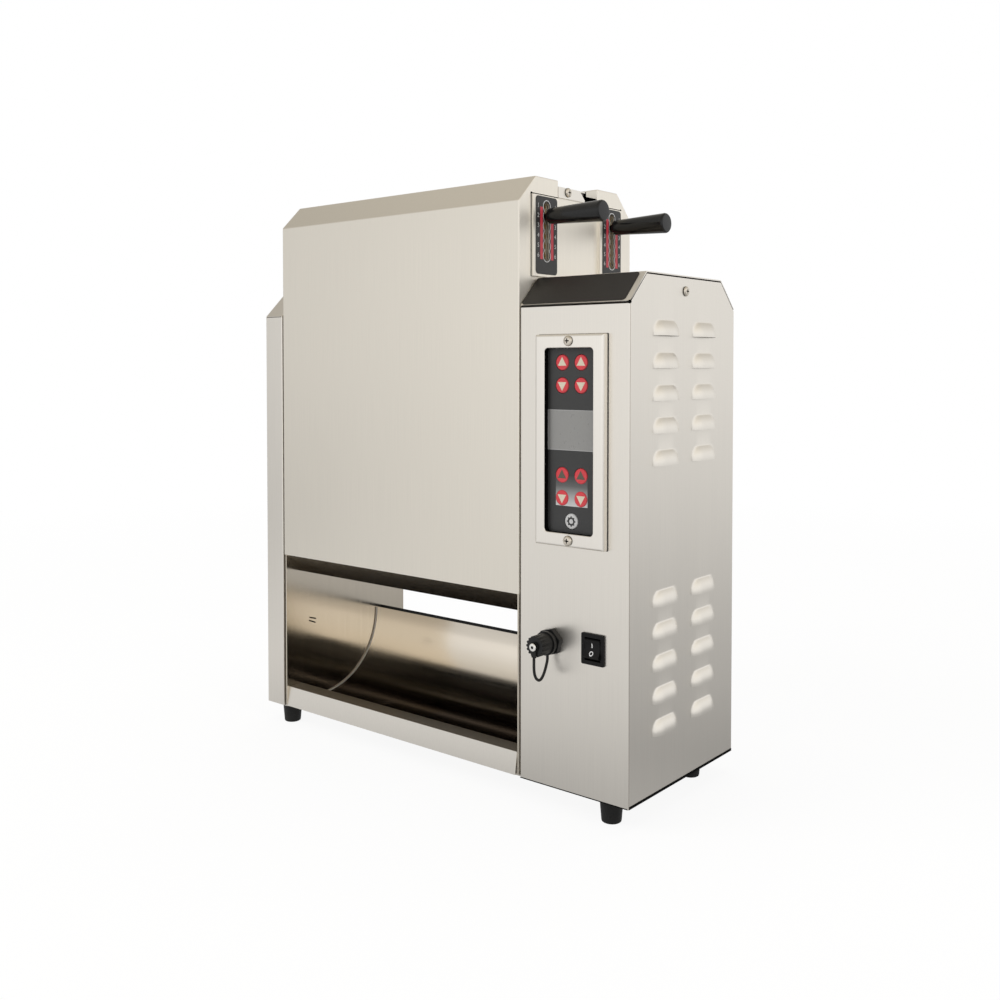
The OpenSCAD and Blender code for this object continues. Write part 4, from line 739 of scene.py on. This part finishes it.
bezel_d = bezel_high.y - bezel_low.y
fold_out, lip_r, corner_r, dark_window_band = 0.0026, 0.0005, 0.0008, 0.0003
rings = [(bezel_w, bezel_h, corner_r, bezel_d)]
for a in spread(0, math.pi / 2, 4):
    inset = 2 * fold_out * (1 - math.cos(a))
    rings.append((bezel_w - inset, bezel_h - inset, corner_r, fold_out * (1 - math.sin(a))))
rings += [(window_w + 2 * lip_r, window_h + 2 * lip_r, window_r + lip_r, 0),
          (window_w, window_h, window_r, lip_r), (window_w, window_h, window_r, bezel_d)]
bm = loft([round_ring((bezel_x, bezel_low.y + y, bezel_z), w, h, r) for w, h, r, y in rings])
# The window's inner edge is painted black: a painted reflection of the dark film behind it.
second(bm, lambda c, n: abs(n.y) < 0.5 and abs(c.x - bezel_x) < window_w / 2 + dark_window_band
       and abs(c.z - bezel_z) < window_h / 2 + dark_window_band)
bezel_steel = brushed("bezel_steel", (0.93, 0.888, 0.82), (1500, 1500, 12), 0.30)
piece(bm, "bezel_frame", "casing", "stainless", bezel_steel, "control_bezel", thick=sheet_t,
      other=painted_shade_black)
# A thin black ring where the bezel meets the panel: painted shade in the joint.
contact_shade_out, contact_shade_in, contact_shade_t = 0.0005, 0.001, 0.0006
bm = flat_frame((bezel_x, bezel_high.y - contact_shade_t, bezel_z), bezel_w - 2 * contact_shade_in,
                bezel_h - 2 * contact_shade_in, corner_r, contact_shade_out + contact_shade_in)
piece(bm, "bezel_contact_shade", "casing", "rubber", rubber, thick=contact_shade_t, facing=(0, -1, 0))

# Keypad: a polycarbonate film, printed from behind and glued in the bezel's window. It has a grey
# display window in a thin pale border, and a shaded square behind the lower keys.
def printed(name, dark, light, gloss=0.42):
    """Printed film: an even colour with a very fine grain."""
    return mottled(name, (1200, 2), dark, light, (300, 2), (gloss - 0.03, gloss + 0.03))


overlay_dark, film_edge = 0.029, 0.0001
overlay_print = printed("overlay_print", grey(0.028), grey(0.031))
display_glass = printed("display_glass", (0.238, 0.236, 0.230), (0.248, 0.246, 0.240), 0.3)
border_print = printed("border_print", grey(0.33), grey(0.35))
overlay_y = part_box("keypad_overlay")[0].y
display_low, display_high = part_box("display_window")
eased("keypad_overlay", film_edge, "keypad_film", "casing", "printed_plate", overlay_print, 1)
eased("display_window", film_edge, "display_pane", "casing", "display", display_glass, 1)
film_up, border_w, border_r = 0.00004, 0.0007, 0.0002
display_x, display_z = (display_low.x + display_high.x) / 2, (display_low.z + display_high.z) / 2
bm = flat_frame((display_x, display_low.y - film_up, display_z),
                display_high.x - display_low.x - 2 * border_w,
                display_high.z - display_low.z - 2 * border_w, border_r, border_w)
piece(bm, "display_border", "casing", "printed_plate", border_print, facing=(0, -1, 0))

square_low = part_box("lighter_key_left")[0]
square_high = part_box("darker_key_right")[1]
square_x = (square_low.x + square_high.x) / 2
shade_w = square_high.x - square_low.x
shade_top = (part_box("darker_key_right")[0].z + square_high.z) / 2
shade_low = square_low.z
bm = loft([[(square_x + u * shade_w / 2, overlay_y - film_up, z)
            for u, z in ((1, shade_top), (-1, shade_top), (-1, shade_low), (1, shade_low))]], True)
shade_print, tree, skin = surface("shade_print", Roughness=0.42)
across = add(tree, "SeparateXYZ", Vector=add(tree, "TexCoord").outputs["Object"]).outputs["Z"]
fade = between(tree, across, 1.0, 0.0, shade_low, shade_top)
tree.links.new(stops(tree, fade, (0.0, grey(overlay_dark)), (0.35, grey(0.10)), (1.0, grey(0.52))),
               skin.inputs["Base Color"])
piece(bm, "shade_square", "casing", "printed_plate", shade_print, facing=(0, -1, 0))

# Keys: nine embossed domes in the overlay. Eight are red with a printed arrow; the lowest is grey
# with a gear. The steep rim of each dome is painted a little darker, as painted shade.
key_red = printed("key_red", (0.56, 0.040, 0.052), (0.60, 0.046, 0.058))
red_rim_painted_shade = printed("red_rim_painted_shade", (0.42, 0.024, 0.034), (0.46, 0.028, 0.038))
key_grey = printed("key_grey", grey(0.50), grey(0.53))
grey_rim_painted_shade = printed("grey_rim_painted_shade", grey(0.40), grey(0.43))
ink_pale = printed("ink_pale", (0.60, 0.53, 0.42), (0.64, 0.57, 0.45))
ink_dark = printed("ink_dark", (0.085, 0.074, 0.054), (0.095, 0.083, 0.061))
ink_black = printed("ink_black", grey(0.022), grey(0.026))
arrow_w, arrow_tip, arrow_foot, ink_t = 0.0100, 0.0054, 0.0031, 0.00006
gear_r, gear_root, gear_hole = 0.0051, 0.0040, 0.0023
teeth, steps, crest = 8, 8, (0, 1, 7)
dome_profile = ((0, 0), (0.8, 0.00002), (0.9, 0.00012), (0.97, 0.0004), (1, 0.0008))
dome_rim = 0.9
for node, way, ink in (
    ("raise_key_left", 1, ink_pale), ("raise_key_right", 1, ink_pale),
    ("lower_key_left", -1, ink_pale), ("lower_key_right", -1, ink_pale),
    ("darker_key_left", 1, ink_dark), ("darker_key_right", 1, ink_dark),
    ("lighter_key_left", -1, ink_pale), ("lighter_key_right", -1, ink_pale),
    ("menu_key", 0, ink_black),
):
    low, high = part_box(node)
    x, z, r = (low.x + high.x) / 2, (low.z + high.z) / 2, (high.x - low.x) / 2
    bm = lathe([(r * share, h) for share, h in dome_profile] + [(r, high.y - low.y)], (x, low.y, z),
               (0, 1, 0), (1, 0, 0))
    # The steep rim of the dome is painted darker: painted shade.
    second(bm, lambda c, n: (c.x - x) ** 2 + (c.z - z) ** 2 > (dome_rim * r) ** 2)
    if way:
        piece(bm, node + "_dome", node, "key_red", key_red, node, other=red_rim_painted_shade)
        corners = [(0, way * arrow_tip), (arrow_w / 2, -way * arrow_foot), (-arrow_w / 2, -way * arrow_foot)]
        bm = prism([(x + u, low.y - ink_t, z + w) for u, w in corners], (0, 3 * ink_t, 0))
    else:
        piece(bm, node + "_dome", node, "key_grey", key_grey, node, other=grey_rim_painted_shade)
        turns = [math.tau * i / (teeth * steps) for i in range(teeth * steps)]
        reach = [gear_r if i % steps in crest else gear_root for i in range(teeth * steps)]
        bm = loft([[(x + g * math.cos(a), low.y - ink_t, z + g * math.sin(a)) for a, g in zip(turns, ring)]
                   for ring in (reach, [gear_hole] * len(turns))])
    piece(bm, node + "_mark", node, "key_grey", ink, facing=None if way else (0, -1, 0))

# Rocker switch: a black moulded frame that snaps into the panel, with a dished rocker.
# The rocker tips on a pin through the frame's sides, and white marks for on and off are printed on it.
switch_black = moulded("switch_black", (0.003, 0.003, 0.003), (0.006, 0.006, 0.006), 0.45, 0.05, 0.2)
switch_white = printed("switch_white", grey(0.68), grey(0.72))
switch_edge, rocker_edge = 0.0005, 0.0004
eased("rocker_frame", switch_edge, "switch_frame", "casing", "black_plastic", switch_black)
rocker_low, rocker_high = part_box("rocker_frame")
rocker_x, rocker_z = (rocker_low.x + rocker_high.x) / 2, (rocker_low.z + rocker_high.z) / 2
rocker_mesh = soften(copy_of("rocker"), rocker_edge)
rocker_skin = BVHTree.FromBMesh(rocker_mesh)
on_z, on_w, on_h = 0.0040, 0.0009, 0.0044
off_z, off_r, off_t, off_steps = -0.0034, 0.0022, 0.0008, 32
mark_up, well_before = 0.0002, 0.02
turns = [math.tau * i / off_steps for i in range(off_steps)]
bar = bmesh.new()
bar_place = Matrix.Translation((rocker_x, rocker_z + on_z, 0))
bmesh.ops.create_grid(bar, x_segments=1, y_segments=6, size=0.5,
                      matrix=bar_place @ Matrix.Diagonal((on_w, on_h, 1, 1)))
marks = join(bar, loft([[(rocker_x + g * math.cos(a), rocker_z + off_z + g * math.sin(a), 0) for a in turns]
                        for g in (off_r, off_r - off_t)]))
for v in marks.verts:
    start = Vector((v.co.x, rocker_low.y - well_before, v.co.y))
    v.co = rocker_skin.ray_cast(start, Vector((0, 1, 0)))[0]
    v.co.y -= mark_up
piece(marks, "rocker_marks", "rocker", "printed_plate", switch_white, facing=(0, -1, 0))
piece(rocker_mesh, "switch_rocker", "rocker", "black_plastic", switch_black, "rocker")

# Data port: a black threaded socket held by a hexagon nut, closed by a ribbed screw cap.
# A bright screw with a hexagon recess holds the tether's tongue to the cap; its ring lies on the neck.
port_black = moulded("port_black", (0.004, 0.004, 0.004), (0.009, 0.009, 0.009), 0.38, 0.05, 0.35)
bright_steel = brushed("bright_steel", (0.90, 0.88, 0.84), 400, 0.18, 0.0)


def driver_head(centre, out, across, levels, recess, depth, steps=48):
    """A turned screw head whose recess and foot are painted black as painted shade; recess gives the
    recess's radius at a turn.
    """
    centre, out, across = Vector(centre), Vector(out), Vector(across)
    up = out.cross(across)
    turns = [math.tau * (i + 0.5) / steps for i in range(steps)]
    top = levels[-1][1]
    rings = [[(r, h) for a in turns] for r, h in levels]
    rings += [[(recess(a), h) for a in turns] for h in (top, top - depth)]
    bm = loft([[centre + (across * math.cos(a) + up * math.sin(a)) * r + out * h
                for a, (r, h) in zip(turns, ring)] for ring in rings], True)
    bm.faces.ensure_lookup_table()
    # The foot's side and the recess are painted black: painted shade.
    for face in bm.faces[:len(turns)] + bm.faces[-len(turns) - 1:]:
        face.material_index = 1
    return bm


def hexagon(flat):
    """The radius of a hexagon at a turn."""
    return lambda a: flat / math.cos((a + math.pi / 6) % (math.pi / 3) - math.pi / 6)


paint(rubber, "tether_ring")
paint(port_black, "port_barrel")
nut_edge, rib_edge = 0.0005, 0.0003
eased("port_nut", nut_edge, "hexagon_nut", "casing", "black_plastic", port_black)
eased("port_cap", rib_edge, "ribbed_cap", "port_cap", "black_plastic", port_black)
cap_low, cap_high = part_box("port_cap_screw")
cap_r = (cap_high.x - cap_low.x) / 2
key_flat, key_deep = 0.0014, 0.0012
cap_levels = [(cap_r, 0), (cap_r, 0.0016), (cap_r - 0.0004, 0.0021), (cap_r - 0.001, 0.0023)]
bm = driver_head((axis_x, ring_low.y, axis_z), (0, -1, 0), (1, 0, 0), cap_levels, hexagon(key_flat),
                 key_deep)
# The screw's recess and foot are painted black as painted shade.
piece(bm, "cap_screw", "port_cap", "bright_steel", bright_steel, "port_cap_screw", other=painted_shade_black)

# Cable gland: a black nylon strain relief in the rear panel, where the mains cable would go in.
# It has a hexagon against the panel and a domed clamping nut.
paint(port_black, "cable_gland")

# Head covers: two large brushed sheets, one at the front and one at the rear, with sloped tops.
# Their ends are folded in as flanges with a duller finish, their lower edges are turned under as
# polished lips, and their inner side is painted near-black as painted shade.
cover_low, cover_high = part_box("front_cover")
head_slope, cover_lip, cover_bottom = 0.027, 0.066, 0.207
flange_d, slit_z, return_w = 0.019, 0.6105, 0.015
under_d, under_h = 0.020, 0.022
cover_r, lip_band = 0.0012, 0.001
lip_y = front_y + cover_lip
bm = prism([
    (cover_low.x, lip_y, cover_high.z), (cover_low.x, front_y + head_slope, cover_high.z),
    (cover_low.x, front_y, cover_high.z - head_slope), (cover_low.x, front_y, cover_bottom),
    (cover_low.x, front_y + flange_d, cover_bottom), (cover_low.x, front_y + flange_d, slit_z),
    (cover_low.x, lip_y, slit_z)], (cover_high.x - cover_low.x, 0, 0))
for x in (cover_low.x + return_w, cover_high.x - return_w):
    slice_at(bm, (x, 0, 0), (1, 0, 0))
drop_faces(bm, lambda c, n: n.z < -0.9 or n.y > 0.9 and c.y < lip_y - lip_band
           or n.y > 0.9 and cover_low.x + return_w < c.x < cover_high.x - return_w)
bmesh.ops.dissolve_limit(bm, angle_limit=math.radians(1), verts=bm.verts, edges=bm.edges)
soften(bm, cover_r, 4)
second(bm, lambda c, n: abs(n.x) > 0.98)
rear = bm.copy()
bmesh.ops.mirror(rear, geom=rear.verts[:] + rear.edges[:] + rear.faces[:], axis="Y",
                 matrix=Matrix.Translation((0, -mid_y, 0)))
bmesh.ops.delete(rear, geom=[v for v in rear.verts if v.co.y < mid_y], context="VERTS")
piece(bm, "front_head_cover", "casing", "stainless", cover_steel, "front_cover", thick=sheet_t,
      other=end_steel, inner=painted_shade_lining)
piece(rear, "rear_head_cover", "casing", "stainless", cover_steel, "rear_cover", thick=sheet_t,
      other=end_steel, inner=painted_shade_lining)
for name, y, inward in (("front_lip", front_y, 1), ("rear_lip", rear_y, -1)):
    low_y, low_z = y + inward * under_d, cover_bottom - under_h
    corners = ((y, cover_bottom), (low_y, low_z), (low_y, low_z + sheet_t),
               (y + inward * sheet_t, cover_bottom))
    piece(prism([(wall_face, u, z) for u, z in corners], (right_face - wall_face, 0, 0)),
          name, "casing", "stainless", bay_steel)

# Platen cap: a folded strip between the two feed mouths, with a screwed flap down at each end.
# The flap's rear corner is cut off at 45 degrees.
eased("platen_cap", sheet_edge, "platen_strip", "casing", "stainless", steel)

# Index plates: black printed plastic plates on the raised brackets, one round each lever slot.
# White numbers count the settings, a white line follows the scalloped slot, and a red bar runs along
# each side. Slits with round ends part the brackets from the covers; black strips and discs in them are
# painted shade.
def figure(text, size):
    """A printed figure as a flat mesh about the origin."""
    curve = bpy.data.curves.new("figure", "FONT")
    curve.body = text
    curve.size = size
    curve.align_x = "CENTER"
    curve.align_y = "CENTER"
    obj = bpy.data.objects.new("figure", curve)
    scene.collection.objects.link(obj)
    mesh = bpy.data.meshes.new_from_object(obj.evaluated_get(bpy.context.evaluated_depsgraph_get()))
    bm = bmesh.new()
    bm.from_mesh(mesh)
    bpy.data.objects.remove(obj)
    bpy.data.curves.remove(curve)
    bpy.data.meshes.remove(mesh)
    return bm


def slot_line(y, r, half, notches, count=60):
    """The outline of a scalloped slot: a channel with a round notch at each setting."""
    low, long = notches[-1] - r, notches[0] - notches[-1] + 2 * r
    heights = [low + long * (1 - math.cos(math.pi * i / count)) / 2 for i in range(count + 1)]
    widths = []
    for z in heights:
        bow = max(math.sqrt(max(r * r - (z - notch) ** 2, 0)) for notch in notches)
        widths.append(max(bow, half) if notches[-1] < z < notches[0] else bow)
    right = list(zip(widths, heights))
    left = [(-w, z) for w, z in right[-2:0:-1]]
    return [(y + w, z) for w, z in right + left]


index_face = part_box("index_plates")[1].x
index_print = printed("index_print", grey(0.022), grey(0.026))
ink_white = printed("ink_white", grey(0.62), grey(0.66))
ink_red = printed("ink_red", (0.55, 0.045, 0.07), (0.60, 0.052, 0.078))
eased("index_plates", plate_edge, "index_plate_pair", "casing", "printed_plate", index_print, 1)
notch_top, notch_pitch, notch_count = 0.598, 0.010, 6
notches = [notch_top - notch_pitch * i for i in range(notch_count)]
lever_in = 0.042
print_x = index_face + ink_t
notch_r, channel_half = 0.0053, 0.0036
line_in, line_out = 0.0004, 0.0013
bar_off, bar_w, bar_low, bar_high = 0.0090, 0.0044, 0.544, 0.597
figure_off, figure_h = 0.0143, 0.0062
whites, reds = [], []
for y in (front_y + lever_in, rear_y - lever_in):
    outlines = [slot_line(y, notch_r + line, channel_half + line, notches) for line in (line_in, line_out)]
    whites.append(loft([[(print_x, u, z) for u, z in outline] for outline in outlines]))
    for side in (-1, 1):
        mid = y + side * bar_off
        reds.append(loft([[(print_x, mid + u * bar_w / 2, z)
                           for u, z in ((1, bar_high), (-1, bar_high), (-1, bar_low), (1, bar_low))]], True))
        for number, z in enumerate(notches):
            bm = figure(str(number + 1), figure_h)
            turned = Matrix(((0, 0, 1, print_x), (1, 0, 0, y + side * figure_off), (0, 1, 0, z),
                             (0, 0, 0, 1)))
            bmesh.ops.transform(bm, matrix=turned, verts=bm.verts)
            whites.append(bm)
piece(join(*whites), "index_figures", "casing", "printed_plate", ink_white, facing=(1, 0, 0))
piece(join(*reds), "index_bars", "casing", "printed_plate", ink_red, facing=(1, 0, 0))

# Black strips and discs in the slits beside the brackets: painted shade for their dark openings.
bracket_half, bracket_top, bracket_low = 0.022, 0.609, 0.5265
slit_h, slit_w, slit_past, gap_t = 0.0015, 0.001, 0.0005, 0.0003
slit_run, hole_run = gap_t * 1.4, gap_t * 1.5
far_in, far_r, near_down, near_r = 0.0012, 0.0015, 0.0002, 0.0017
gap_x = cover_high.x - gap_t
gaps = []
for y, out in ((front_y + lever_in, -1), (rear_y - lever_in, 1)):
    far = y + out * (bracket_half + slit_w)
    near = y - out * (bracket_half + slit_past)
    for (y0, z0), (y1, z1) in (((far, bracket_low), (far - out * slit_w, bracket_top)),
                               ((far, bracket_top), (near, bracket_top + slit_h))):
        corners = ((y0, z0), (y1, z0), (y1, z1), (y0, z1))
        gaps.append(prism([(gap_x, u, z) for u, z in corners], (slit_run, 0, 0)))
    for end, z, r in ((far - out * far_in, bracket_top + slit_h / 2, far_r),
                      (near, bracket_top - near_down, near_r)):
        hole = [(0, 0), (r, 0), (r, hole_run), (0, hole_run)]
        gaps.append(lathe(hole, (gap_x, end, z), (1, 0, 0), (0, 1, 0), 24))
piece(join(*gaps), "bracket_slit_shade", "casing", "black_plastic", painted_shade_black)

# Levers: rods from the brown slides inside, each in a black sleeve, with a tapered grip pressed on.
# Moving a lever to another notch sets how hard its belt presses.
grip_black = moulded("grip_black", (0.003, 0.003, 0.003), (0.005, 0.005, 0.005), 0.17, 0.02, 0.4)
slide_board = moulded("slide_board", (0.36, 0.24, 0.07), (0.42, 0.29, 0.10), 0.5)
base_r, rod_r, bore_d = 0.0081, 0.0032, 0.004
sleeve_r, sleeve_in, sleeve_out = 0.0034, -0.010, 0.001
sleeve_profile = [(rod_r, sleeve_in), (sleeve_r, sleeve_in), (sleeve_r, sleeve_out), (rod_r, sleeve_out)]
for side in ("front", "rear"):
    low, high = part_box(side + "_lever_grip")
    y, z = (low.y + high.y) / 2, (low.z + high.z) / 2
    r, long = (high.y - low.y) / 2, high.x - low.x
    grip_profile = [
        (rod_r, bore_d), (rod_r, 0), (base_r - 0.0012, 0), (base_r - 0.0003, 0.0004), (base_r, 0.0012),
        (r, long - 0.0024), (r - 0.0004, long - 0.0010), (r - 0.0012, long - 0.0002), (r - 0.0020, long),
        (0, long),
    ]
    bm = lathe(grip_profile, (low.x, y, z), (1, 0, 0), (0, 1, 0), 64)
    piece(bm, side + "_grip_turned", side + "_lever", "grip_plastic", grip_black, side + "_lever_grip")
    paint(slide_board, side + "_lever")
    bm = lathe(sleeve_profile, (low.x, y, z), (1, 0, 0), (0, 1, 0), 32)
    piece(bm, side + "_lever_sleeve", side + "_lever", "grip_plastic", grip_black)

# Screws: stainless pan heads with a cross recess, in the bezel, the side wall, the rear panel and
# the flaps of the platen cap.
screw_steel = brushed("screw_steel", (0.70, 0.64, 0.55), 300, 0.12, 0.0)
head_r, head_h = 0.0050, 0.0024
cross_w, cross_l, cross_deep = 0.0006, 0.0024, 0.0014
head_levels = [(head_r, 0), (head_r, 0.0007), (head_r * 0.94, 0.0014), (head_r * 0.80, 0.0020),
               (head_r * 0.62, head_h)]


def cross(a):
    """The radius of a cross at a turn."""
    c, s = abs(math.cos(a)), abs(math.sin(a))
    return max(min(cross_l / c, cross_w / s), min(cross_l / s, cross_w / c))


bezel_screw, side_screw_z, flap_y, flap_z = 0.0955, 0.5095, 0.083, 0.6175
rear_screw_in, rear_screw_z = 0.0072, (0.042, 0.476)
places = [((bezel_x, bezel_low.y, bezel_z + s * bezel_screw), (0, -1, 0), (1, 0, 0)) for s in (-1, 1)]
places.append(((wall_x, mid_y, side_screw_z), (1, 0, 0), (0, 1, 0)))
places.append(((cover_high.x, front_y + flap_y, flap_z), (1, 0, 0), (0, 1, 0)))
places.append(((cover_low.x, front_y + flap_y, flap_z), (-1, 0, 0), (0, 1, 0)))
places += [((x, rear_y, z), (0, 1, 0), (1, 0, 0))
           for x in (box_left + rear_screw_in, wall_x - rear_screw_in) for z in rear_screw_z]
# Each recess and foot is painted black as painted shade.
piece(join(*[driver_head(*place, head_levels, cross, cross_deep) for place in places]),
      "cross_screws", "casing", "bright_steel", screw_steel, "screws", other=painted_shade_black)
